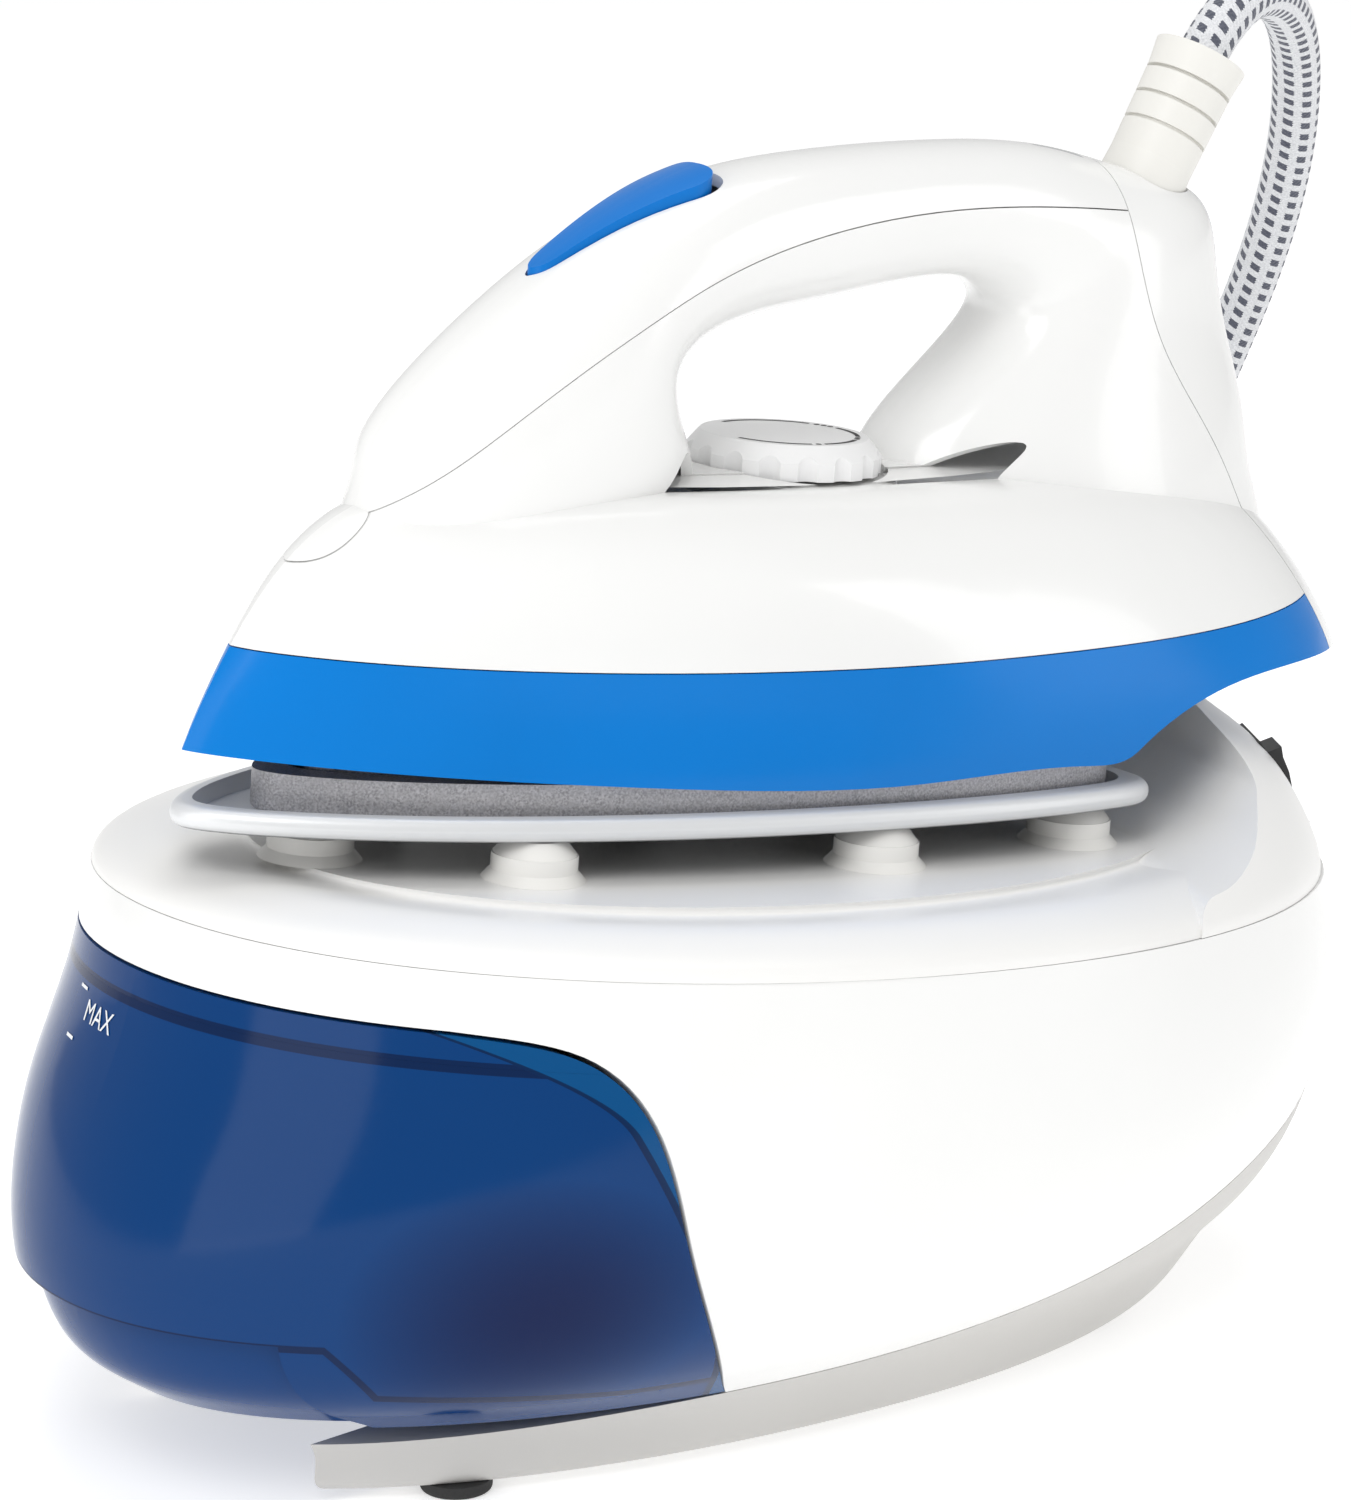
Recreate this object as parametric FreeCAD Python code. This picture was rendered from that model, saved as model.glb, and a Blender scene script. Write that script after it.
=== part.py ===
import FreeCAD, Part
import math
import os

os.makedirs("parts", exist_ok=True)

V = FreeCAD.Vector

# ---------------------------------------------------------------- driving sizes (mm)
BASE_LENGTH = 330.0          # water tank's front bulge to the tail of the station
BASE_WIDTH = 228.0           # station, across the widest belt of the side housing
DECK_HEIGHT = 135.8          # height of the soleplate's underside over the table, at mid length
TILT = 4.9                   # the iron and its rest slope down to the back by this angle
IRON_LENGTH = 309.0          # iron, nose of the skirt to the heel
IRON_WIDTH = 112.0           # iron, across the skirt
IRON_HEIGHT = 144.5          # iron, sole to the top of the handle
HOSE_D = 12.0                # braided steam hose, outside diameter
DIAL_R = 22.5                # temperature dial, over its knurled rim
TANK_TOP_DROP = 13.4         # tank's top edge under the cover seam
WALL = 2.6                   # moulded plastic walls
SEAM_GAP = 0.3               # line between two fixed mouldings
RUN_GAP = 0.8                # gap between a moving moulding and its frame
FOOT_HEIGHT = 3.0            # rubber feet under the bottom shell
BOTTOM_TOP = 17.0            # joint of bottom shell and side housing, at the front prongs
BOTTOM_RISE = 31.0           # that joint sweeps up to the back by this much
TANK_FLOOR = 20.0            # underside of the tank
SEAM_DEPTH = 19.8            # cover seam under the sole plane
PLATFORM_DEPTH = 11.6        # cover platform under the sole plane
RIM_D = 5.4                  # rolled rim of the iron rest
SHEET = 1.2                  # pressed metal of the iron rest
SOLE_THICK = 9.0             # cast soleplate
SKIRT_BOTTOM = 7.5           # lowest edge of the skirt over the sole plane

LX = BASE_LENGTH / 330.0     # stretch of the station's plan
LY = BASE_WIDTH / 228.0
IX = IRON_LENGTH / 309.0     # stretch of the iron
IY = IRON_WIDTH / 112.0
IZ = IRON_HEIGHT / 144.5
HULL_X = 10.0 * LX           # widest place of the station
BIG = 600.0

pieces = {}


# ---------------------------------------------------------------- helpers
def save(name, shape):
    """Keep one finished piece under its node name."""
    solid = shape
    if shape.ShapeType == "Compound" and len(shape.Solids) == 1:
        solid = shape.Solids[0]
    if not solid.isValid():
        print("not valid:", name)
    pieces[name] = solid
    return solid


def spline(points, closed=False):
    curve = Part.BSplineCurve()
    if closed:
        curve.interpolate(Points=points, PeriodicFlag=True)
    else:
        curve.interpolate(Points=points)
    return curve.toShape()


def cylinder(r, h, at, axis=(0, 0, 1)):
    return Part.makeCylinder(r, h, V(*at), V(*axis))


def cone(r1, r2, h, at, axis=(0, 0, 1)):
    return Part.makeCone(r1, r2, h, V(*at), V(*axis))


def box(x0, x1, y0, y1, z0, z1):
    return Part.makeBox(x1 - x0, y1 - y0, z1 - z0, V(x0, y0, z0))


def fuse(shapes):
    result = shapes[0]
    if len(shapes) > 1:
        result = shapes[0].fuse(shapes[1:])
    return result.removeSplitter()


def both_sides(shape):
    """The shape and its mirror image across the middle plane."""
    return [shape, shape.mirror(V(0, 0, 0), V(0, 1, 0))]


def tilted(shape):
    """Move a piece made in the iron's own flat frame to its place on the sloping deck."""
    moved = shape.copy()
    moved.rotate(V(0, 0, 0), V(0, 1, 0), TILT)
    moved.translate(V(0, 0, DECK_HEIGHT))
    return moved


def tilted_point(u, y, w):
    """The same move for one point."""
    a = math.radians(TILT)
    x = u * math.cos(a) + w * math.sin(a)
    z = DECK_HEIGHT - u * math.sin(a) + w * math.cos(a)
    return V(x, y, z)


def rounded(shape, radius, wanted):
    """Round the edges that the test picks, and keep the sharp shape where that fails."""
    edges = [edge for edge in shape.Edges if wanted(edge)]
    if not edges:
        return shape
    try:
        result = shape.makeFillet(radius, edges)
        if result.isValid() and result.Solids:
            return result
    except Exception:
        pass
    return shape


def soft_path(points):
    """Straight runs joined by tangent arcs; the arc radius follows the shorter run and the turn."""
    corners = [V(*p) for p in points]
    edges = []
    radii = []
    start = corners[0]
    for before, corner, after in zip(corners, corners[1:], corners[2:]):
        back = (before - corner).normalize()
        ahead = (after - corner).normalize()
        turn = math.pi - back.getAngle(ahead)
        shorter = min((before - corner).Length, (after - corner).Length)
        radius = 0.45 * shorter / math.tan(turn / 2.0)
        radii.append(radius)
        cut = 0.45 * shorter
        first = corner + back * cut
        last = corner + ahead * cut
        middle_dir = (back + ahead).normalize()
        middle = corner + middle_dir * (radius / math.cos(turn / 2.0) - radius)
        edges.append(Part.makeLine(start, first))
        edges.append(Part.Arc(first, middle, last).toShape())
        start = last
    edges.append(Part.makeLine(start, corners[-1]))
    return Part.Wire(edges), radii


def swept(wire, start, ahead, r):
    """A round bar of radius r along a wire."""
    profile = Part.Wire(Part.makeCircle(r, start, ahead))
    return wire.makePipeShell([profile], True, False)


def tube(points, r, bore=0.0):
    """A round tube along soft_path(points)."""
    wire, radii = soft_path(points)
    start = V(*points[0])
    ahead = V(*points[1]) - start
    body = swept(wire, start, ahead, r)
    if bore > 0.0:
        body = body.cut(swept(wire, start, ahead, bore))
    return body, wire, radii


def prism_y(points, half_width, smooth=()):
    """A profile in x and z, drawn through points, pushed out to both sides of the middle plane."""
    corners = [V(p[0], -half_width, p[1]) for p in points]
    if smooth:
        first, last = smooth
        edges = [spline(corners[first:last + 1])]
        ring = corners[last:] + corners[:first + 1]
        for a, b in zip(ring, ring[1:]):
            edges.append(Part.makeLine(a, b))
        wire = Part.Wire(edges)
    else:
        wire = Part.makePolygon(corners + [corners[0]])
    return Part.Face(wire).extrude(V(0, 2.0 * half_width, 0))


# ---------------------------------------------------------------- the station's outer form
# height, front reach, back reach, half width, squareness of the front, all at the driving sizes
HULL_LEVELS = [
    (3.0, 158.0, 122.0, 71.5, 2.05),
    (9.0, 158.5, 130.0, 75.0, 2.05),
    (18.0, 160.0, 137.0, 80.5, 2.08),
    (26.0, 171.0, 143.0, 89.0, 2.12),
    (36.0, 177.0, 149.0, 98.0, 2.18),
    (50.0, 178.5, 154.0, 106.0, 2.20),
    (65.0, 176.0, 156.5, 111.5, 2.18),
    (80.0, 171.0, 158.0, 114.0, 2.15),
    (102.0, 161.0, 154.5, 113.7, 2.08),
    (116.0, 157.0, 151.5, 112.0, 2.05),
    (130.0, 152.5, 148.0, 110.0, 2.05),
    (146.0, 147.0, 143.0, 106.0, 2.05),
]
STEPS = 16                   # spans along one side of an outline


def skin_solid(rows):
    """A closed symmetric body from near-half outlines, each running from the nose to the tail."""
    near_surface = Part.BSplineSurface()
    near_surface.interpolate(rows)
    far_surface = Part.BSplineSurface()
    far_surface.interpolate([[V(p.x, -p.y, p.z) for p in reversed(row)] for row in rows])
    near = near_surface.toShape()
    far = far_surface.toShape()
    caps = []
    for row in (rows[0], rows[-1]):
        middle = row[len(row) // 2]
        edges = []
        for face, y in ((near, middle.y), (far, -middle.y)):
            spot = Part.Vertex(V(middle.x, y, middle.z))
            edges.append(min(face.Edges, key=lambda e: e.distToShape(spot)[0]))
        caps.append(Part.Face(Part.Wire(Part.__sortEdges__(edges))))
    shell = Part.Shell(Part.makeCompound([near, far] + caps).Faces)
    shell.sewShape()
    solid = Part.Solid(shell)
    solid.fix(0.001, 0.001, 0.001)
    if solid.Volume < 0:
        solid = solid.reversed()
    return solid


def outline(cx, front, back, half, square, z, inset=0.0):
    """Near half of an egg-shaped outline at one height."""
    near = []
    for i in range(STEPS + 1):
        a = math.pi * (1.0 + i / STEPS)
        c = math.cos(a)
        s = math.sin(a)
        reach = back if c > 0 else front
        power = 2.05 if c > 0 else square
        x = math.copysign(abs(c) ** (2.0 / power), c) * (reach - inset)
        y = -(abs(s) ** (2.0 / 2.05)) * (half - inset)
        near.append(V(cx + x, y, z))
    near[0].y = 0.0
    near[-1].y = 0.0
    return near


def hull(inset=0.0):
    """The station's body from the table side up past the cover seam."""
    rows = []
    for z, front, back, half, square in HULL_LEVELS:
        rows.append(outline(HULL_X, front * LX, back * LX, half * LY, square, z, inset))
    return skin_solid(rows)


def slab_over(depth):
    """All the space above a plane parallel to the sloping deck."""
    block = box(-BIG, BIG, -BIG, BIG, -depth, BIG)
    return tilted(block)


def slab_under_joint(drop=0.0):
    """All the space below the joint of bottom shell and side housing, which sweeps up to the back."""
    line = [
        (-200.0, -0.13), (-120.0, -0.07), (-92.0, -0.01), (-47.0, 0.08), (-7.0, 0.14), (30.0, 0.30),
        (54.0, 0.48),
        (71.0, 0.64), (92.0, 0.85), (108.0, 1.0), (150.0, 1.36), (210.0, 1.8),
    ]
    points = [(x * LX, BOTTOM_TOP + share * BOTTOM_RISE - drop) for x, share in line]
    ends = [(points[-1][0], -BIG), (points[0][0], -BIG)]
    return prism_y(points + ends, BIG, (0, len(points) - 1))


# back face of the tank, in x and z: it leans forward to the top and turns over in a wide curve
def tank_zone(grow=0.0):
    top = DECK_HEIGHT - SEAM_DEPTH - TANK_TOP_DROP
    far = -114.0 * LX
    slope = math.tan(math.radians(TILT))
    back = [
        (-47.0, 0.0), (-58.0, 0.15), (-66.2, 0.31), (-73.6, 0.51), (-77.5, 0.69), (-80.3, 0.80),
        (-85.0, 0.895), (-91.5, 0.955), (-100.0, 0.985),
    ]
    points = []
    for x, share in back:
        edge = top - slope * x * LX
        lift = grow * max(0.0, 2.0 * share - 1.0)
        points.append((x * LX + grow,
            TANK_FLOOR + share * (edge - TANK_FLOOR) + lift - grow * (share == 0.0)))
    points.append((far, top - slope * far + grow))
    ends = [(-BIG, top + slope * BIG + grow), (-BIG, TANK_FLOOR - grow)]
    return prism_y(points + ends, BIG, (0, len(points) - 1))


def grip_zone():
    """The finger hollow low on the tank's front."""
    half_top = 53.0 * LY
    half_low = 48.0 * LY
    top = TANK_FLOOR + 25.0
    corners = [V(-BIG, -half_low, 0), V(-BIG, -half_top, top), V(-BIG, half_top, top), V(-BIG, half_low, 0)]
    face = Part.Face(Part.makePolygon(corners + [corners[0]]))
    return face.extrude(V(BIG - 110.0 * LX, 0, 0))


# ---------------------------------------------------------------- station: shells
def make_bottom_shell():
    outer = HULL.common(slab_under_joint(SEAM_GAP / 2.0))
    cavity = HULL_IN.common(box(-62.0 * LX, BIG, -BIG, BIG, FOOT_HEIGHT + WALL, BIG))
    front = HULL_IN.common(box(-BIG, -59.0 * LX, -BIG, BIG, FOOT_HEIGHT + WALL, BOTTOM_TOP - WALL - 1.0))
    throat = prong_recess()
    body = outer.cut(cavity).cut(front.cut(prong_recess(WALL)))
    body = body.cut(throat)
    for x, y in SCREW_POSTS:
        post = cylinder(4.5, BOTTOM_TOP - FOOT_HEIGHT - 2.0, (x, y, FOOT_HEIGHT))
        body = body.fuse(post)
        body = body.cut(cylinder(1.9, BIG, (x, y, -1.0)))
        body = body.cut(cylinder(3.4, 5.0, (x, y, FOOT_HEIGHT - 1.0)))
    for x, y in FOOT_SPOTS:
        body = body.cut(cylinder(3.2, 12.0, (x, y, -1.0)))
    return save("bottom_shell", body.removeSplitter())


def prong_recess(grow=0.0):
    """The open bay between the two front prongs of the bottom shell."""
    half = 38.0 * LY + grow
    deep = -98.0 * LX + grow
    block = box(-BIG, deep, -half, half, -BIG, BOTTOM_TOP + 10.0)
    nose = cylinder(half, BIG, (deep, 0, -BIG / 2.0))
    squash = FreeCAD.Matrix()
    squash.scale(0.35, 1.0, 1.0)
    nose.translate(V(-deep, 0, 0))
    nose = nose.transformGeometry(squash)
    nose.translate(V(deep, 0, 0))
    return block.fuse(nose)


def make_feet():
    feet = []
    for x, y in FOOT_SPOTS:
        pad = cylinder(8.0, FOOT_HEIGHT - 0.05, (x, y, 0))
        pad = rounded(pad, 1.2, lambda e: e.BoundBox.ZMax < 0.1 and len(e.Vertexes) == 1)
        stem = cylinder(3.0, FOOT_HEIGHT + WALL, (x, y, 0))
        feet.append(fuse([pad, stem]))
    return save("rubber_feet", Part.makeCompound(feet))


def make_side_housing():
    outer = HULL.cut(slab_under_joint(-SEAM_GAP / 2.0))
    outer = outer.cut(slab_over(SEAM_DEPTH + SEAM_GAP / 2.0))
    ring = outer.cut(HULL_IN)
    roof = HULL_IN.cut(slab_over(SEAM_DEPTH + 2.0)).common(slab_over(SEAM_DEPTH + 2.0 + WALL))
    roof = roof.common(box(-BIG, -60.0 * LX, -BIG, BIG, 0, BIG))
    bulkhead = HULL_IN.common(tank_zone(RUN_GAP + WALL).cut(tank_zone(RUN_GAP)))
    bulkhead = bulkhead.cut(slab_over(SEAM_DEPTH + 2.0)).cut(slab_under_joint(-SEAM_GAP))
    body = ring.fuse([roof, bulkhead])
    body = body.cut(tank_zone(RUN_GAP))
    body = body.cut(cylinder(SOCKET_R + 0.05, 40.0, (SOCKET_X - 20.0, SOCKET_Y, SOCKET_Z), (1, 0, 0)))
    body = body.cut(port_hole(HOSE_PORT, HOSE_OUT)).cut(port_hole(MAINS_PORT, MAINS_OUT))
    return save("side_housing", biggest(body))


def biggest(shape):
    solids = sorted(shape.Solids, key=lambda s: s.Volume)
    return solids[-1]


# ---------------------------------------------------------------- station: top cover, in the deck frame
COVER_U = 11.7 * LX


def deck_outline(front, back, half, w):
    return outline(COVER_U, front * LX, back * LX, half * LY, 2.05, w)


def cover_dome(inset=0.0):
    """The cover's outside as if it were one high dome; the scoop leaves only its back as a hump."""
    levels = [
        (-SEAM_DEPTH, 153.8, 154.0, 112.6),
        (-14.0, 151.5, 152.9, 110.6),
        (-8.0, 146.0, 150.6, 105.5),
        (0.0, 134.0, 146.0, 97.0),
        (7.0, 118.0, 139.5, 85.0),
        (12.5, 98.0, 132.0, 70.0),
        (16.0, 70.0, 124.5, 52.0),
        (17.6, 40.0, 118.0, 34.0),
    ]
    rows = []
    for w, front, back, half in levels:
        rows.append(deck_outline(front - inset, back - inset, half - inset, w - inset))
    return skin_solid(rows)


def cover_scoop(drop=0.0):
    """The air in front of the hump: a steep foot, then a long curve up to the crest."""
    levels = [
        (-SEAM_DEPTH - 12.0, 78.0),
        (-PLATFORM_DEPTH - 6.0, 86.0),
        (-PLATFORM_DEPTH, 98.0),
        (-PLATFORM_DEPTH + 2.0, 107.0),
        (-PLATFORM_DEPTH + 6.0, 115.5),
        (-PLATFORM_DEPTH + 12.0, 122.0),
        (-PLATFORM_DEPTH + 20.0, 127.0),
        (-PLATFORM_DEPTH + 40.0, 133.0),
    ]
    rows = []
    for w, back in levels:
        rows.append(outline(0.0, 260.0, (back + drop) * LX, 160.0 * LY, 2.05, w))
    return skin_solid(rows)


def cover_edge(inset=0.0):
    """The cover without its hump: a flat platform with a wide rounded lip."""
    levels = [
        (-SEAM_DEPTH, 153.8, 112.2),
        (-18.0, 153.2, 111.6),
        (-15.5, 149.6, 108.0),
        (-13.2, 142.5, 101.0),
        (-12.0, 133.0, 91.5),
        (-PLATFORM_DEPTH, 120.0, 79.0),
    ]
    rows = []
    for w, reach, half in levels:
        rows.append(deck_outline(reach - inset, reach - 0.6 - inset, half - inset, w - inset))
    return skin_solid(rows)


def make_top_cover():
    hump = biggest(cover_dome().cut(cover_scoop()))
    solid = cover_edge().fuse(hump)
    inner_hump = biggest(cover_dome(WALL).cut(cover_scoop(WALL)))
    body = biggest(solid).cut(cover_edge(WALL)).cut(inner_hump)
    for u, y in PEG_SPOTS:
        body = body.cut(cylinder(2.6, 20.0, (u, y, -PLATFORM_DEPTH - 10.0)))
    save("top_cover", tilted(biggest(body)))


# ---------------------------------------------------------------- station: pegs, rest and switch
def make_pegs():
    pegs = []
    low = -PLATFORM_DEPTH
    top = -PEG_TOP
    for u, y in PEG_SPOTS:
        foot = cone(11.6, 9.6, 2.2, (u, y, low + 0.02))
        column = cylinder(9.6, top - low - 3.4, (u, y, low + 0.02))
        cap = cone(9.3, 6.5, 3.4, (u, y, top - 3.4))
        stem = cylinder(2.4, 6.0, (u, y, low - 5.0))
        pegs.append(fuse([foot, column, cap, stem]))
    return save("tray_pegs", tilted(Part.makeCompound(pegs)))


def sole_outline(grow, w, nose, back, half):
    """Boat-shaped outline of the soleplate and its rest; grow moves it outwards."""
    length = back - nose
    shape = [
        (0.0, 0.0), (0.022, 0.15), (0.07, 0.30), (0.15, 0.475), (0.27, 0.665),
        (0.42, 0.83), (0.60, 0.95), (0.78, 1.0), (0.93, 0.975), (0.985, 0.91), (1.0, 0.76),
    ]
    points = []
    for f, k in shape:
        x = nose - grow + (length + 2.0 * grow) * f
        points.append(V(x, k * (half + grow), w))
    far = [V(p.x, -p.y, p.z) for p in reversed(points[1:])]
    edge_a = spline(points[::-1] + [V(p.x, -p.y, p.z) for p in points[1:]])
    edge_b = Part.makeLine(far[0], points[-1])
    return Part.Wire([edge_a, edge_b])


def flat_plate(grow, low, high, nose, back, half):
    face = Part.Face(sole_outline(grow, low, nose, back, half))
    return face.extrude(V(0, 0, high - low))


def make_tray():
    low = -TRAY_FLOOR
    top = RIM_TOP
    skin = flat_plate(6.0, low, top, *TRAY_PLAN)
    hollow = flat_plate(6.0 - SHEET, low + SHEET, top + 5.0, *TRAY_PLAN)
    dish = skin.cut(hollow)
    rim_out = flat_plate(6.0 + RIM_D - SHEET, top - RIM_D, top, *TRAY_PLAN)
    rim_out = rounded(rim_out, RIM_D / 2.0 - 0.15, horizontal_edge)
    rim = rim_out.cut(flat_plate(6.0 - SHEET, -50.0, 50.0, *TRAY_PLAN))
    pads = []
    for u, y in PEG_SPOTS:
        pad_u = u if y else u + 12.0
        pad_y = y * 0.72
        pads.append(cylinder(4.0, TRAY_FLOOR - SHEET - 0.02, (pad_u, pad_y, low + SHEET)))
    body = dish.fuse([rim] + pads).removeSplitter()
    for u, y in PEG_SPOTS:
        body = body.cut(cylinder(1.6, 6.0, (u, y, low - 2.0)))
    return save("iron_rest_tray", tilted(biggest(body)))


def horizontal_edge(edge):
    return edge.BoundBox.ZLength < 0.01 and edge.Length > 3.0


def make_tray_screws():
    screws = []
    for u, y in PEG_SPOTS:
        head = cylinder(2.8, 1.0, (u, y, -TRAY_FLOOR + SHEET))
        screws.append(head.cut(box(u - 2.0, u + 2.0, y - 0.35, y + 0.35, -1.5, 5.0)))
    return save("tray_screws", tilted(Part.makeCompound(screws)))


def switch_frame_place(shape):
    """Turn a switch piece made flat at the origin to its place on the back slope."""
    moved = shape.copy()
    moved.rotate(V(0, 0, 0), V(0, 1, 0), SWITCH_LEAN)
    moved.rotate(V(0, 0, 0), V(0, 0, 1), -SWITCH_TURN)
    moved.translate(V(*SWITCH_AT))
    return moved


def switch_space(grow):
    half_a = SWITCH_LONG / 2.0 + grow
    half_b = SWITCH_WIDE / 2.0 + grow
    return switch_frame_place(box(-half_a, half_a, -half_b, half_b, -24.0, 12.0))


def make_switch():
    half_a = SWITCH_LONG / 2.0 - 0.1
    half_b = SWITCH_WIDE / 2.0 - 0.1
    flange = box(-half_a - 1.6, half_a + 1.6, -half_b - 1.6, half_b + 1.6, SWITCH_SEAT, SWITCH_SEAT + 1.4)
    body = box(-half_a, half_a, -half_b, half_b, -16.0, SWITCH_SEAT + 1.4)
    mouth = box(-half_a + 1.8, half_a - 1.8, -half_b + 1.8, half_b - 1.8, -10.0, 12.0)
    tabs = [box(x - 0.4, x + 0.4, -3.0, 3.0, -23.0, -15.9) for x in (-6.0, 0.0, 6.0)]
    frame = fuse([flange, body] + tabs).cut(mouth)
    save("switch_frame", switch_frame_place(frame))
    pocket = switch_frame_place(fuse([flange, body, box(-half_a - 1.7, half_a + 1.7, -half_b - 1.7,
        half_b + 1.7,
                                                         SWITCH_SEAT + 0.4, 30.0)]))
    save("top_cover", biggest(pieces["top_cover"].cut(pocket)))
    room = half_a - 1.8 - RUN_GAP
    profile = [
        (-room, -1.0), (1.4 - room, 5.4), (-room * 0.5, 4.4), (0.0, 3.8), (room * 0.5, 2.4), (room,
        1.4), (room, -1.0),
        (0.0, -6.0),
    ]
    side = half_b - 1.8 - RUN_GAP
    rocker = prism_y(profile, side)
    rocker.translate(V(0, 0, SWITCH_SEAT))
    save("power_rocker", switch_frame_place(rocker))


# ---------------------------------------------------------------- station: tank
def make_tank():
    zone = tank_zone()
    outer = HULL.common(zone).common(box(-BIG, BIG, -BIG, BIG, TANK_FLOOR, BIG))
    grip = grip_zone().cut(HULL_GRIP)
    outer = biggest(outer.cut(grip))
    inner_zone = tank_zone(-WALL).common(box(-BIG, BIG, -BIG, BIG, TANK_FLOOR + WALL, BIG))
    inner = HULL_IN.common(inner_zone)
    inner = inner.cut(grip_zone().cut(HULL_GRIP_IN))
    top_cut = slab_over(SEAM_DEPTH + TANK_TOP_DROP + LID_THICK)
    body = outer.cut(biggest(inner)).cut(top_cut)
    body = body.cut(cylinder(6.85, 60.0, (VALVE_X - 30.0, SOCKET_Y, SOCKET_Z), (1, 0, 0)))
    body = biggest(body)
    save("water_tank", body)
    lid = outer.common(slab_over(SEAM_DEPTH + TANK_TOP_DROP + LID_THICK - 0.02))
    lid = lid.cut(cap_place(cylinder(CAP_R + 0.5, 20.0, (0, 0, -CAP_DEEP))))
    lid = lid.cut(cap_place(cylinder(FILL_R, 40.0, (0, 0, -30.0))))
    save("tank_lid", biggest(lid))


def cap_place(shape):
    """Put a piece made flat round the filler's axis, top face at zero, onto the sloping lid."""
    moved = shape.copy()
    moved.rotate(V(0, 0, 0), V(0, 1, 0), TILT)
    moved.translate(V(FILL_X, 0, tank_lid_z(FILL_X)))
    return moved


def make_filler_cap():
    """A quarter-turn cap, sunk flush into the lid, with a finger bar across it."""
    disc = cylinder(CAP_R, CAP_DEEP - 0.35, (0, 0, -CAP_DEEP + 0.05))
    plug = cylinder(FILL_R - 0.5, 5.0, (0, 0, -CAP_DEEP - 4.9))
    cap = fuse([disc, plug])
    for side in (-1, 1):
        scoop = box(-9.0, 9.0, side * 6.0 - 4.0, side * 6.0 + 4.0, -2.4, 5.0)
        cap = cap.cut(scoop)
    cap = cap.cut(cylinder(FILL_R - 2.0, 4.0, (0, 0, -CAP_DEEP - 5.0)))
    save("filler_cap", cap_place(cap))


def make_tank_valve():
    x = VALVE_X
    y = SOCKET_Y
    z = SOCKET_Z
    flange = cylinder(10.0, 12.0, (x - 9.0, y, z), (1, 0, 0)).common(tank_zone(-WALL - 0.05))
    barrel = cylinder(6.8, 14.0, (x - 12.0, y, z), (1, 0, 0))
    spout = cylinder(5.0, 8.0, (x, y, z), (1, 0, 0))
    body = fuse([flange, barrel, spout]).cut(cylinder(3.4, 60.0, (x - 30.0, y, z), (1, 0, 0)))
    save("tank_valve_body", body)
    stem = cylinder(1.4, 15.0, (x - 9.5, y, z), (1, 0, 0))
    head = cylinder(3.2, 1.6, (x - 11.0, y, z), (1, 0, 0))
    save("tank_valve_poppet", fuse([stem, head]))
    save("tank_valve_spring", coil_spring(2.5, 0.35, 9.0, 6, (x - 9.0, y, z), (1, 0, 0)))
    shell = cylinder(SOCKET_R, 16.0, (SOCKET_X, y, z), (1, 0, 0))
    bore = cylinder(5.5, 12.0, (SOCKET_X - 1.0, y, z), (1, 0, 0))
    pin = cylinder(1.5, 4.0, (SOCKET_X + 8.0, y, z), (1, 0, 0))
    spigot = cylinder(3.0, 12.0, (SOCKET_X + 15.0, y, z), (1, 0, 0))
    lip = cylinder(SOCKET_R + 3.0, 2.0, (SOCKET_X + 6.0, y, z), (1, 0, 0))
    save("tank_socket", biggest(fuse([shell.cut(bore), pin, spigot, lip]).cut(tank_zone(0.4))))


def coil_spring(r, wire_r, length, turns, at, axis):
    """A plain helical spring."""
    helix = Part.makeHelix(length / turns, length, r)
    profile = Part.Wire(Part.makeCircle(wire_r, V(r, 0, 0), V(0, 1, 0)))
    body = Part.Wire(helix).makePipeShell([profile], True, True)
    turn = FreeCAD.Rotation(V(0, 0, 1), V(*axis))
    body.Placement = FreeCAD.Placement(V(*at), turn)
    return body


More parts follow.
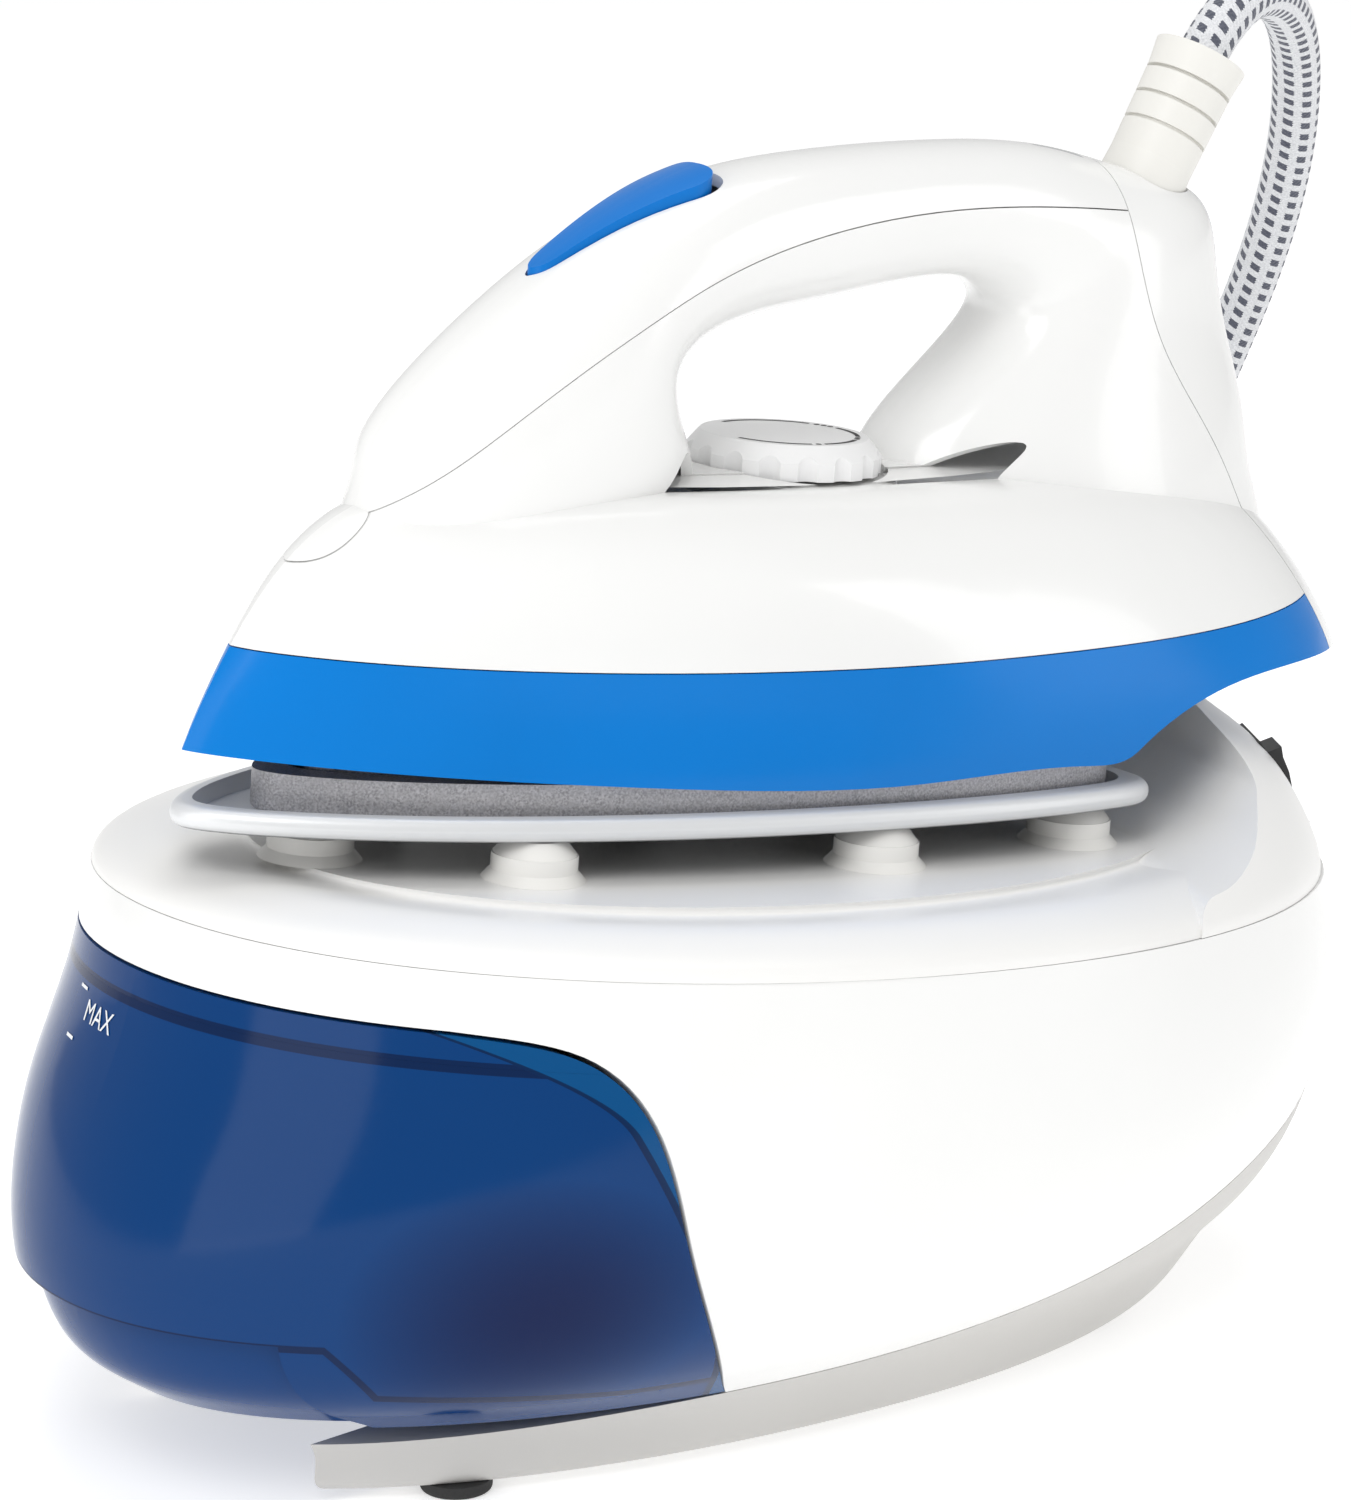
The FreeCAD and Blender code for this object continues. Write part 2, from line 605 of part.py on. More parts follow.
# ---------------------------------------------------------------- station: boiler and pump
def make_boiler():
    x, y = BOILER_AT
    low = BOILER_LOW
    pot = cylinder(BOILER_R, BOILER_H, (x, y, low))
    pot = pot.cut(cylinder(BOILER_R - 2.0, BOILER_H - 2.0, (x, y, low + 2.0)))
    flange = cylinder(BOILER_R + 6.0, 3.0, (x, y, low + BOILER_H - 3.0))
    flange = flange.cut(cylinder(BOILER_R - 2.0, 5.0, (x, y, low + BOILER_H - 4.0)))
    save("boiler_pot", fuse([pot, flange]))
    lid = cylinder(BOILER_R + 6.0, 3.0, (x, y, low + BOILER_H + 0.02))
    dome = cylinder(BOILER_R - 10.0, 4.0, (x, y, low + BOILER_H + 2.0))
    lid = fuse([lid, dome])
    for px, py in BOILER_PORTS:
        lid = lid.cut(cylinder(2.5, 20.0, (x + px, y + py, low + BOILER_H - 5.0)))
    save("boiler_lid", lid)
    ring = Part.makeTorus(BOILER_R - 13.0, 4.0, V(x, y, low + 9.0), V(0, 0, 1))
    legs = []
    for side in (-1, 1):
        legs.append(cylinder(2.2, 13.0, (x + BOILER_R - 14.0, y + side * 7.0, low - 6.0)))
    element = fuse([ring] + legs)
    save("boiler_heating_element", element)
    pot_cut = pieces["boiler_pot"]
    for side in (-1, 1):
        pot_cut = pot_cut.cut(cylinder(2.25, 20.0, (x + BOILER_R - 14.0, y + side * 7.0, low - 10.0)))
    save("boiler_pot", pot_cut)
    bolts = []
    for i in range(6):
        a = math.radians(60.0 * i + 30.0)
        bx = x + (BOILER_R + 3.0) * math.cos(a)
        by = y + (BOILER_R + 3.0) * math.sin(a)
        bolts.append(cylinder(2.6, 2.4, (bx, by, low + BOILER_H + 3.05)))
    save("boiler_bolts", Part.makeCompound(bolts))
    plate = box(x - 52.0, x + 52.0, y - 22.0, y + 22.0, low - 8.2, low - 6.6)
    hole = cylinder(BOILER_R - 8.0, 20.0, (x, y, low - 15.0))
    feet = [box(x + s * 46.0 - 4.0, x + s * 46.0 + 4.0, y - 10.0, y + 10.0, BENCH,
        low - 8.0) for s in (-1, 1)]
    posts = []
    for s in (-1, 1):
        posts.append(cylinder(2.5, 6.8, (x + s * 30.0, y + 19.0, low - 6.8)))
        posts.append(cylinder(2.5, 6.8, (x + s * 30.0, y - 19.0, low - 6.8)))
    save("boiler_bracket", biggest(fuse([plate.cut(hole)] + feet + posts)))


def make_boiler_fittings():
    x, y = BOILER_AT
    top = BOILER_LOW + BOILER_H + 6.04
    (ax, ay), (bx, by), (cx, cy) = BOILER_PORTS
    hexagon = cylinder(5.5, 5.0, (x + ax, y + ay, top))
    stem = cylinder(2.4, 8.0, (x + ax, y + ay, top - 6.0))
    nose = cone(4.2, 2.6, 6.0, (x + ax, y + ay, top + 5.0))
    save("pressure_relief_valve", fuse([hexagon, stem, nose]))
    can = cylinder(8.0, 6.0, (x + bx, y + by, top))
    stem = cylinder(2.4, 8.0, (x + bx, y + by, top - 6.0))
    blades = [box(x + bx - 5.0, x + bx - 4.2, y + by - 3.0, y + by + 3.0, top + 5.9, top + 12.0),
              box(x + bx + 4.2, x + bx + 5.0, y + by - 3.0, y + by + 3.0, top + 5.9, top + 12.0)]
    save("boiler_thermostat", fuse([can, stem] + blades))
    block = box(x + cx - 9.0, x + cx + 9.0, y + cy - 9.0, y + cy + 9.0, top, top + 6.0)
    stem = cylinder(2.4, 8.0, (x + cx, y + cy, top - 6.0))
    winding = cylinder(7.5, 10.0, (x + cx, y + cy, top + 5.9))
    port = cylinder(3.0, 9.0, (x + cx, y + cy + 8.0, top + 3.0), (0, 1, 0))
    save("steam_solenoid_valve", fuse([block, stem, winding, port]))


def make_pump():
    x, y, z = PUMP_AT
    motor = cylinder(17.0, 34.0, (x, y - 17.0, z), (0, 1, 0))
    head = box(x - 12.0, x + 12.0, y + 16.9, y + 31.0, z - 12.0, z + 12.0)
    inlet = cylinder(3.0, 10.0, (x - 21.9, y + 24.0, z), (1, 0, 0))
    outlet = cylinder(3.0, 14.0, (x + 11.9, y + 24.0, z), (1, 0, 0))
    save("water_pump", fuse([motor, head, inlet, outlet]))
    cushions = []
    for side in (-9.0, 9.0):
        saddle = box(x - 12.0, x + 12.0, y + side - 4.0, y + side + 4.0, BENCH, z)
        cushions.append(saddle.cut(cylinder(17.05, 20.0, (x, y + side - 10.0, z), (0, 1, 0))))
    save("pump_cushions", Part.makeCompound(cushions))
    save("pump_inlet_hose", sleeve(SOCKET_X + 18.0, x - 13.0, y + 24.0, z))
    bx, by = BOILER_AT
    outlet = sleeve(x + 14.0, bx - BOILER_R * 0.7, y + 24.0, z)
    save("pump_outlet_hose", outlet.cut(cylinder(BOILER_R + 0.05, 200.0, (bx, by, 0))))


def sleeve(x0, x1, y, z):
    """A short rubber hose pushed over two spigots that face each other."""
    return cylinder(4.6, x1 - x0, (x0, y, z), (1, 0, 0)).cut(cylinder(3.03, x1 - x0, (x0, y, z), (1, 0, 0)))


def make_electrics():
    x0, y0, z0 = BOARD_AT
    board = box(x0, x0 + 1.6, y0 - 36.0, y0 + 36.0, z0, z0 + 44.0)
    relay = box(x0 + 1.5, x0 + 13.0, y0 - 30.0, y0 - 12.0, z0 + 8.0, z0 + 26.0)
    capacitor = cylinder(5.0, 12.0, (x0 + 1.5, y0 + 4.0, z0 + 12.0), (1, 0, 0))
    choke = cylinder(6.5, 8.0, (x0 + 1.5, y0 + 20.0, z0 + 16.0), (1, 0, 0))
    chip = box(x0 + 1.5, x0 + 4.0, y0 - 4.0, y0 + 12.0, z0 + 30.0, z0 + 38.0)
    save("control_board", fuse([board, relay, capacitor, choke, chip]))


def make_glands():
    hose_wall = wall_distance(HOSE_PORT, HOSE_OUT)
    mains_wall = wall_distance(MAINS_PORT, MAINS_OUT)
    save("steam_hose_gland", gland(HOSE_PORT, HOSE_OUT, hose_wall, HOSE_D / 2.0 + 0.05))
    save("mains_inlet_gland", gland(MAINS_PORT, MAINS_OUT, mains_wall, 3.8))


def gland(port, out, wall, bore):
    """A bushing through the side housing: a barrel in the wall and a tapered collar outside."""
    ahead = V(*out).normalize()
    at = V(*port) + ahead * wall
    barrel = Part.makeCylinder(GLAND_R - 0.05, 16.0, at - ahead * 10.0, ahead)
    collar = Part.makeCone(GLAND_R + 3.0, GLAND_R - 0.6, 15.0, at + ahead * GLAND_STAND, ahead)
    body = barrel.fuse(collar.cut(HULL_NEAR))
    return body.cut(Part.makeCylinder(bore, 60.0, at - ahead * 30.0, ahead))


def port_hole(port, out):
    """The round hole that a bushing sits in."""
    ahead = V(*out).normalize()
    at = V(*port) + ahead * (wall_distance(port, out) - 12.0)
    return Part.makeCylinder(GLAND_R, 40.0, at, ahead)


def make_case_screws():
    screws = []
    for x, y in SCREW_POSTS:
        head = cylinder(3.2, 2.2, (x, y, FOOT_HEIGHT + 0.6))
        shank = cylinder(1.7, 9.0, (x, y, FOOT_HEIGHT + 2.7))
        screws.append(fuse([head, shank]))
    return save("case_screws", Part.makeCompound(screws))


# ---------------------------------------------------------------- iron: outer form, flat frame
def iron_outline(nose, back, half, w, sharp, widest, inset=0.0):
    """Near half of the iron's plan at one height: drawn in to the nose, rounder at the heel."""
    nose = nose + inset * 1.5
    back = back - inset
    near = []
    for i in range(STEPS + 1):
        f = (1.0 - math.cos(math.pi * i / STEPS)) / 2.0
        if f < widest:
            k = math.sin(0.5 * math.pi * f / widest) ** sharp
        else:
            k = max(0.0, 1.0 - ((f - widest) / (1.0 - widest)) ** 3.8) ** 0.5
        near.append(V(nose + (back - nose) * f, -k * (half - inset), w))
    near[0].y = 0.0
    near[-1].y = 0.0
    return near


# height, nose, heel, half width, how drawn-in the nose is, where the widest place is
BODY_LEVELS = [
    (4.0, -140.0, 187.0, 57.5, 0.74, 0.60),
    (20.0, -134.0, 183.0, 56.0, 0.71, 0.60),
    (34.0, -127.0, 177.0, 53.5, 0.67, 0.58),
    (46.0, -119.5, 168.5, 49.5, 0.62, 0.54),
    (56.0, -111.0, 159.0, 43.5, 0.57, 0.51),
    (64.0, -100.0, 147.5, 35.5, 0.53, 0.48),
    (69.0, -84.0, 130.0, 26.0, 0.50, 0.47),
    (71.5, -58.0, 102.0, 13.0, 0.50, 0.47),
]


def iron_body(inset=0.0):
    rows = []
    for w, nose, back, half, sharp, widest in BODY_LEVELS:
        height = w * IZ if w < 60.0 else w * IZ - inset
        rows.append(iron_outline(nose * IX, back * IX, half * IY, height, sharp, widest, inset))
    return skin_solid(rows)


# upper point, lower point and half width of each section along the handle
ARCH_LEVELS = [
    (-101.0, 57.0, -34.0, 36.0, 19.0),
    (-92.0, 80.0, -18.0, 56.0, 22.0),
    (-80.0, 94.5, -10.0, 70.0, 23.5),
    (-63.0, 108.5, -15.0, 80.0, 23.5),
    (-42.0, 122.5, -20.0, 91.0, 22.5),
    (-14.0, 135.5, -8.0, 102.0, 20.0),
    (24.0, 142.5, 25.0, 109.0, 18.0),
    (60.0, 144.5, 60.0, 113.5, 17.5),
    (92.0, 143.0, 74.0, 110.0, 18.0),
    (118.0, 137.5, 77.0, 103.5, 18.5),
    (136.0, 132.0, 72.0, 97.0, 19.5),
    (143.0, 116.0, 62.0, 89.0, 21.0),
    (148.0, 99.0, 52.0, 80.0, 23.5),
    (153.5, 83.0, 46.0, 70.0, 27.0),
    (156.5, 69.0, 46.0, 57.0, 29.5),
    (162.0, 54.0, 46.0, 44.0, 31.0),
]
ARCH_STEPS = 10


def iron_arch(inset=0.0):
    """The handle: from the nose up over the finger gap and down to the heel."""
    rows = []
    for tu, tw, bu, bw, half in ARCH_LEVELS:
        top = V(tu * IX, 0, tw * IZ)
        low = V(bu * IX, 0, bw * IZ)
        middle = (top + low) * 0.5
        up = top - middle
        reach = up.Length - inset
        up.normalize()
        near = []
        wide = half * IY - inset
        for i in range(ARCH_STEPS + 1):
            a = math.pi * i / ARCH_STEPS
            c = math.copysign(abs(math.cos(a)) ** 0.9, math.cos(a))
            near.append(middle + up * (reach * c) + V(0, -wide * math.sin(a) ** 0.9, 0))
        near[0].y = 0.0
        near[-1].y = 0.0
        rows.append(near)
    return skin_solid(rows)


def region(points, first, last):
    """A region in the iron's side view, bounded by a smooth line through points first to last."""
    scaled = [(u * IX, w * IZ) for u, w in points]
    return prism_y(scaled, 150.0, (first, last))


def above_band(lift=0.0):
    line = [(-170.0, 41.5), (-126.0, 36.6), (-60.0, 33.8), (20.0, 33.6), (108.0, 36.3), (150.0, 39.5),
        (210.0, 45.0)]
    raised = [(u, w + lift) for u, w in line]
    return region(raised + [(210.0, 250.0), (-170.0, 250.0)], 0, 6)


def under_heel():
    line = [
        (-170.0, 17.5), (-136.0, 14.6), (-90.0, 11.4), (-48.0, 9.2), (20.0, 7.4), (70.0, 8.6), (84.5, 10.0),
        (88.5, 12.6), (93.0, 15.4), (103.0, 20.2), (116.0, 24.1), (134.0, 26.4), (155.0, 27.0), (200.0,
        27.6),
    ]
    lift = SKIRT_BOTTOM - 7.5
    raised = [(u, w + lift) for u, w in line]
    return region(raised + [(200.0, -60.0), (-170.0, -60.0)], 0, len(line) - 1)


def above_cover_seam(lift=0.0):
    line = [
        (-140.0, 55.5), (-122.0, 54.0), (-110.0, 55.0), (-99.0, 62.0), (-68.0, 86.0), (-31.0, 109.5),
        (13.0, 125.0),
        (64.0, 131.0), (108.0, 129.5), (170.0, 124.0),
    ]
    raised = [(u, w + lift) for u, w in line]
    return region(raised + [(170.0, 250.0), (-140.0, 250.0)], 0, 9)


def behind_rear_seam(shift=0.0):
    line = [(95.0, 175.0), (101.0, 145.0), (106.0, 122.0), (113.0, 101.0), (130.0, 76.0), (148.0,
        50.0), (158.5, 32.0),
            (166.0, 10.0)]
    moved = [(u + shift, w) for u, w in line]
    return region(moved + [(260.0, 10.0), (260.0, 175.0)], 0, 7)


def make_iron_shells():
    outer = iron_body().fuse(iron_arch())
    inner = iron_body(WALL).fuse(iron_arch(WALL))
    inner = inner.cut(dial_boss_space(WALL))
    shell = outer.cut(inner)
    lift = SEAM_GAP
    above = above_band(lift)
    skirt = shell.cut(above_band()).cut(under_heel()).cut(behind_rear_seam())
    save("skirt", biggest(skirt))
    core = shell.common(above)
    cover = core.common(above_cover_seam(lift)).cut(behind_rear_seam())
    cover = biggest(cover).cut(boot_bore())
    cover = cover.cut(trigger_space(TRIGGER_GAP, TRIGGER_POCKET)).cut(lens_body(0.05))
    save("handle_top_cover", biggest(cover))
    housing = core.cut(above_cover_seam()).cut(behind_rear_seam())
    housing = biggest(housing)
    housing = housing.cut(cylinder(SPINDLE_R + 0.8, 60.0, (DIAL_U, 0, 40.0)))
    housing = housing.cut(dial_boss_recess())
    save("main_housing", biggest(housing))
    rear = shell.common(behind_rear_seam(lift)).cut(under_heel())
    rear = rear.cut(boot_bore())
    save("rear_cover", biggest(rear))


def dial_boss_space(wall):
    return cylinder(DIAL_R + 4.0, wall + 1.4, (DIAL_U, 0, DECK_W - wall - 1.4))


def dial_boss_recess():
    return cylinder(DIAL_R + 0.9, 28.0, (DIAL_U, 0, DECK_W - 0.6))


def boot_axis():
    a = math.radians(BOOT_LEAN)
    return (math.sin(a), 0.0, math.cos(a))


def boot_bore():
    """The stepped seat of the hose boot in the two covers."""
    seat = cylinder(BOOT_R + 0.3, 40.0, boot_point(-4.2), boot_axis())
    return cylinder(BOOT_R - 2.0, 60.0, boot_point(-30.0), boot_axis()).fuse(seat)


def make_boot():
    axis = V(*boot_axis())
    start = V(*BOOT_AT)
    base = Part.makeCone(BOOT_R, BOOT_R - 0.4, 7.0, start - axis * 4.0, axis)
    plug = Part.makeCylinder(BOOT_R - 2.1, 14.0, start - axis * 15.0, axis)
    waist = Part.makeCone(BOOT_R - 0.4, BOOT_R + 0.1, BOOT_LONG - 9.0, start + axis * 3.0, axis)
    lip = Part.makeCone(BOOT_R + 0.1, BOOT_R + 0.8, 6.0, start + axis * (BOOT_LONG - 6.0), axis)
    body = base.fuse([plug, waist, lip])
    for i in range(3):
        at = start + axis * (BOOT_LONG - 8.0 - 6.6 * i)
        groove = Part.makeCylinder(BOOT_R + 3.0, 0.9, at, axis)
        body = body.cut(groove.cut(Part.makeCylinder(BOOT_R - 1.2, 0.9, at, axis)))
    bore = Part.makeCylinder(HOSE_D / 2.0 + 0.05, 120.0, start - axis * 40.0, axis)
    save("hose_boot", body.cut(bore))


# ---------------------------------------------------------------- iron: trigger, dial, lens
def trigger_space(grow, behind=0.0):
    """A long drop shape seen from above: the trigger's plan, or its slot, longer at the back."""
    half = TRIGGER_HALF + grow
    back = TRIGGER_BACK + behind
    points = [
        V(TRIGGER_FRONT - grow, 0, 0), V(TRIGGER_FRONT + 1.5, -half * 0.30, 0), V(TRIGGER_FRONT + 6.0,
        -half * 0.46, 0),
        V(TRIGGER_FRONT + 20.0, -half * 0.72, 0), V(TRIGGER_BACK - 9.0, -half, 0), V(back - 3.2,
        -half * 0.99, 0),
        V(back - 0.9 + grow * 0.7, -half * 0.80, 0), V(back + grow, -half * 0.35, 0), V(back + grow, 0, 0),
    ]
    far = [V(p.x, -p.y, 0) for p in points[1:-1]][::-1]
    face = Part.Face(Part.Wire(spline(points + far, True)))
    body = face.extrude(V(0, 0, 60.0))
    body.translate(V(0, 0, 96.0 * IZ))
    return body


def make_trigger():
    column = trigger_space(0.0)
    raised = iron_arch()
    raised.translate(V(0, 0, TRIGGER_PROUD))
    raised.rotate(V(TRIGGER_FRONT, 0, TRIGGER_PIVOT_W), V(0, 1, 0), -TRIGGER_LIFT)
    top = column.common(raised)
    hollow = iron_arch(WALL + 1.2)
    body = biggest(top.cut(hollow))
    hinge = cylinder(2.0, TRIGGER_HALF, (TRIGGER_PIVOT_U, -TRIGGER_HALF * 0.5, TRIGGER_AXIS_W), (0, 1, 0))
    web = box(TRIGGER_FRONT + 4.0, TRIGGER_FRONT + 9.0, -2.0, 2.0, TRIGGER_AXIS_W - 1.0, 116.0 * IZ)
    finger = box(SWITCH_U - 2.0, SWITCH_U + 2.0, -2.0, 2.0, LEVER_TOP + TRIGGER_PRESS, 129.0 * IZ)
    body = body.fuse([hinge, web, finger]).removeSplitter()
    save("steam_trigger", biggest(body))
    carrier_top = 98.6 * IZ
    low = carrier_top + SPRING_POST
    save("trigger_spring", coil_spring(2.6, 0.4, SPRING_LONG, 5, (SPRING_U, 0, low + 0.45), (0, 0, 1)))
    carrier = box(SPRING_U - 5.0, SWITCH_U + 9.0, -60.0, 60.0, carrier_top - 2.0, carrier_top)
    post = cylinder(4.0, SPRING_POST + 0.02, (SPRING_U, 0, carrier_top - 0.02))
    switch = box(SWITCH_U - 8.0, SWITCH_U + 8.0, -3.0, 3.0, carrier_top - 0.1, LEVER_TOP - 1.3)
    lever = box(SWITCH_U - 6.0, SWITCH_U + 5.0, -1.5, 1.5, LEVER_TOP - 0.6, LEVER_TOP)
    stand = box(SWITCH_U - 6.0, SWITCH_U - 4.8, -1.5, 1.5, LEVER_TOP - 1.4, LEVER_TOP - 0.5)
    body = fuse([carrier, post, switch, lever, stand]).common(iron_arch(WALL + 0.1))
    save("trigger_switch", biggest(body))


def lens_body(grow):
    half = 6.5 + grow
    face = Part.Face(Part.makePolygon([
        V(LENS_U - 7.0 - grow, -half * 0.55, 0), V(LENS_U + 6.0 + grow, -half, 0),
        V(LENS_U + 6.0 + grow, half, 0),
        V(LENS_U - 7.0 - grow, half * 0.55, 0), V(LENS_U - 7.0 - grow, -half * 0.55, 0)]))
    body = face.extrude(V(0, 0, 12.0))
    body.translate(V(0, 0, 137.5 * IZ))
    return body


def make_lens():
    body = lens_body(0.0).common(iron_arch())
    save("indicator_lens", biggest(body))
    lamp = cylinder(2.5, 8.0, (LENS_U, 0, 126.0 * IZ))
    base = cylinder(4.0, 2.0, (LENS_U, 0, 124.5 * IZ))
    save("indicator_lamp", fuse([lamp, base]))


def make_dial():
    low = DECK_W + 0.4
    top = DIAL_TOP
    body = cylinder(DIAL_R, 4.0, (DIAL_U, 0, low))
    shoulder = cone(DIAL_R, DIAL_R - 2.6, top - low - 4.6, (DIAL_U, 0, low + 4.0))
    cap = cone(DIAL_R - 2.6, DIAL_R - 3.2, 0.6, (DIAL_U, 0, top - 0.6))
    body = fuse([body, shoulder, cap])
    for i in range(DIAL_GROOVES):
        a = 2.0 * math.pi * i / DIAL_GROOVES
        x = DIAL_U + (DIAL_R + 2.0) * math.cos(a)
        y = (DIAL_R + 2.0) * math.sin(a)
        body = body.cut(cylinder(3.2, 30.0, (x, y, low - 5.0)))
    body = body.cut(cylinder(SPINDLE_R + 0.02, top - low - 2.5, (DIAL_U, 0, low)))
    save("temperature_dial", biggest(body))
    start = THERMO_TOP + 0.05
    spindle = cylinder(SPINDLE_R, top - 2.6 - start, (DIAL_U, 0, start))
    save("dial_spindle", spindle)


# ---------------------------------------------------------------- iron: soleplate and inside
def make_sole():
    plate = flat_plate(0.0, 0.0, SOLE_THICK, *SOLE_PLAN)
    plate = rounded(plate, 1.2, lambda e: e.BoundBox.ZMax < 0.01 and e.Length > 3.0)
    floor = 4.5
    well = flat_plate(-9.0, floor, SOLE_THICK + 5.0, *SOLE_PLAN)
    plate = plate.cut(well)
    ridge = flat_plate(-13.0, floor - 0.02, CHAMBER_TOP, *SOLE_PLAN).cut(
        flat_plate(-17.0, floor - 0.1, CHAMBER_TOP + 5.0, *SOLE_PLAN))
    boss = cylinder(9.5, 6.5, (DIAL_U, 0, floor - 0.02))
    plate = plate.fuse([ridge, boss]).removeSplitter()
    for u, y in VENTS:
        plate = plate.cut(cylinder(1.5, 20.0, (u, y, -5.0)))
    for u, y in SOLE_SCREWS:
        post = cylinder(4.0, 9.0, (u, y, floor - 0.02))
        plate = plate.fuse(post).cut(cylinder(1.6, 12.0, (u, y, floor + 1.0)))
    path = [(96.0, -24.0), (20.0, -27.0), (-50.0, -17.0), (-90.0, 0.0), (-50.0, 17.0), (20.0, 27.0),
        (96.0, 24.0)]
    points = [(u * IX, y * IY, floor + 3.3) for u, y in path]
    body, wire, radii = tube(points, 3.1)
    save("sole_heating_element", body)
    save("soleplate", biggest(plate.cut(body)))
    room = flat_plate(-12.2, CHAMBER_TOP + 0.05, CHAMBER_TOP + 1.65, *SOLE_PLAN)
    room = room.cut(cylinder(11.0, 20.0, (DIAL_U, 0, 0)))
    room = room.cut(cylinder(2.6, 20.0, (STEAM_U, 0, 0)))
    for u, y in SOLE_SCREWS:
        room = room.cut(cylinder(4.6, 20.0, (u, y, 0)))
    save("steam_chamber_lid", biggest(room))


def make_sole_parts():
    floor = 11.05
    can = cylinder(8.0, THERMO_TOP - floor, (DIAL_U, 0, floor))
    arms = box(DIAL_U - 14.0, DIAL_U + 14.0, -3.0, 3.0, floor + 9.0, floor + 10.0)
    save("iron_thermostat", fuse([can, arms]))
    at = 60.0 * IX
    body = cylinder(2.6, 14.0, (at - 7.0, 8.0, CHAMBER_TOP + 4.5), (1, 0, 0))
    clip = box(at - 3.0, at + 3.0, 5.0, 11.0, CHAMBER_TOP + 1.7, CHAMBER_TOP + 4.0)
    leads = cylinder(0.7, 26.0, (at - 13.0, 8.0, CHAMBER_TOP + 4.5), (1, 0, 0))
    save("thermal_fuse", fuse([body, clip, leads]))
    shield = flat_plate(-10.5, HEAT_SHIELD, HEAT_SHIELD + 1.2, *SOLE_PLAN)
    shield = shield.cut(cylinder(10.0, 60.0, (DIAL_U, 0, 0)))
    shield = shield.cut(cylinder(6.0, 60.0, (STEAM_U, 0, 0)))
    for u, y in SOLE_SCREWS:
        post = cylinder(4.0, HEAT_SHIELD - 13.55, (u, y, 13.53))
        shield = shield.fuse(post).cut(cylinder(1.6, 60.0, (u, y, 0)))
    save("heat_shield", biggest(shield.removeSplitter()))
    screws = []
    for u, y in SOLE_SCREWS:
        shank = cylinder(1.5, 14.0, (u, y, HEAT_SHIELD - 12.8))
        head = cylinder(3.0, 2.0, (u, y, HEAT_SHIELD + 1.22))
        screws.append(fuse([shank, head]))
    save("sole_screws", Part.makeCompound(screws))
    path = [(STEAM_U, 0, CHAMBER_TOP + 1.0), (STEAM_U, 0, 40.0), (118.0 * IX, 0, 78.0),
            BOOT_AT_TUBE_LOW, BOOT_AT_TUBE]
    body, wire, radii = tube([(p[0], p[1], p[2]) for p in path], 2.5, 1.4)
    save("steam_tube", body)
    block = box(96.0, 120.0, -11.0, 11.0, 46.0, 57.0)
    slots = [box(98.0, 118.0, y - 2.4, y + 2.4, 50.0, 60.0) for y in (-6.6, 0.0, 6.6)]
    foot = box(104.0, 112.0, -8.0, 8.0, HEAT_SHIELD + 1.25, 46.1)
    save("terminal_block", biggest(fuse([block, foot]).cut(Part.makeCompound(slots)).cut(
        cylinder(4.0, 80.0, (STEAM_U + 14.0, 0, 20.0)))))


def make_rear_screw():
    """One screw through the middle of the rear cover into the handle's root."""
    turn = math.radians(REAR_SCREW_LEAN)
    ahead = (-math.cos(turn), 0.0, -math.sin(turn))
    head = cylinder(3.2, 2.0, REAR_SCREW, ahead)
    shank = cylinder(1.5, 14.0, REAR_SCREW, ahead)
    save("rear_cover_screw", fuse([head, shank]))
    start = V(*REAR_SCREW) - V(*ahead) * 12.0
    hole = Part.makeCylinder(3.4, 14.1, start, V(*ahead))
    through = Part.makeCylinder(1.6, 40.0, start, V(*ahead))
    save("rear_cover", biggest(pieces["rear_cover"].cut(hole).cut(through)))
    save("main_housing", biggest(pieces["main_housing"].cut(through)))


# ---------------------------------------------------------------- steam hose
def make_hose():
    body, wire_a, radii_a = tube(HOSE_UPPER, HOSE_D / 2.0)
    save("steam_hose_upper", body)
    body, wire_b, radii_b = tube(HOSE_LOWER, HOSE_D / 2.0)
    save("steam_hose_lower", body)
    body, wire_c, radii_c = tube(HOSE_RETURN, HOSE_D / 2.0)
    save("steam_hose_return", body)
    cx, cy = COIL_AT
    ring = cylinder(COIL_R + HOSE_D / 2.0, COIL_LAYERS * HOSE_D, (cx, cy, 0.05))
    ring = ring.cut(cylinder(COIL_R - HOSE_D / 2.0, BIG, (cx, cy, -1.0)))
    ring = rounded(ring, HOSE_D * 0.3, lambda e: e.Length > 100.0)
    for name in ("steam_hose_lower", "steam_hose_return"):
        ring = ring.cut(pieces[name])
    save("steam_hose_coil", biggest(ring))
    coil_length = 2.0 * math.pi * COIL_R * COIL_TURNS
    total = wire_a.Length + wire_b.Length + wire_c.Length + coil_length
    print("hose radii", [round(r, 1) for r in radii_a + radii_b + radii_c])
    print("hose length mm", round(total), "of which coil", round(coil_length))
    for name, wire in (("upper", wire_a), ("lower", wire_b), ("return", wire_c)):
        exact = wire.Length * math.pi * HOSE_D * HOSE_D / 4.0
        print("hose", name, round(wire.Length), "volume share",
            round(pieces["steam_hose_" + name].Volume / exact, 3))


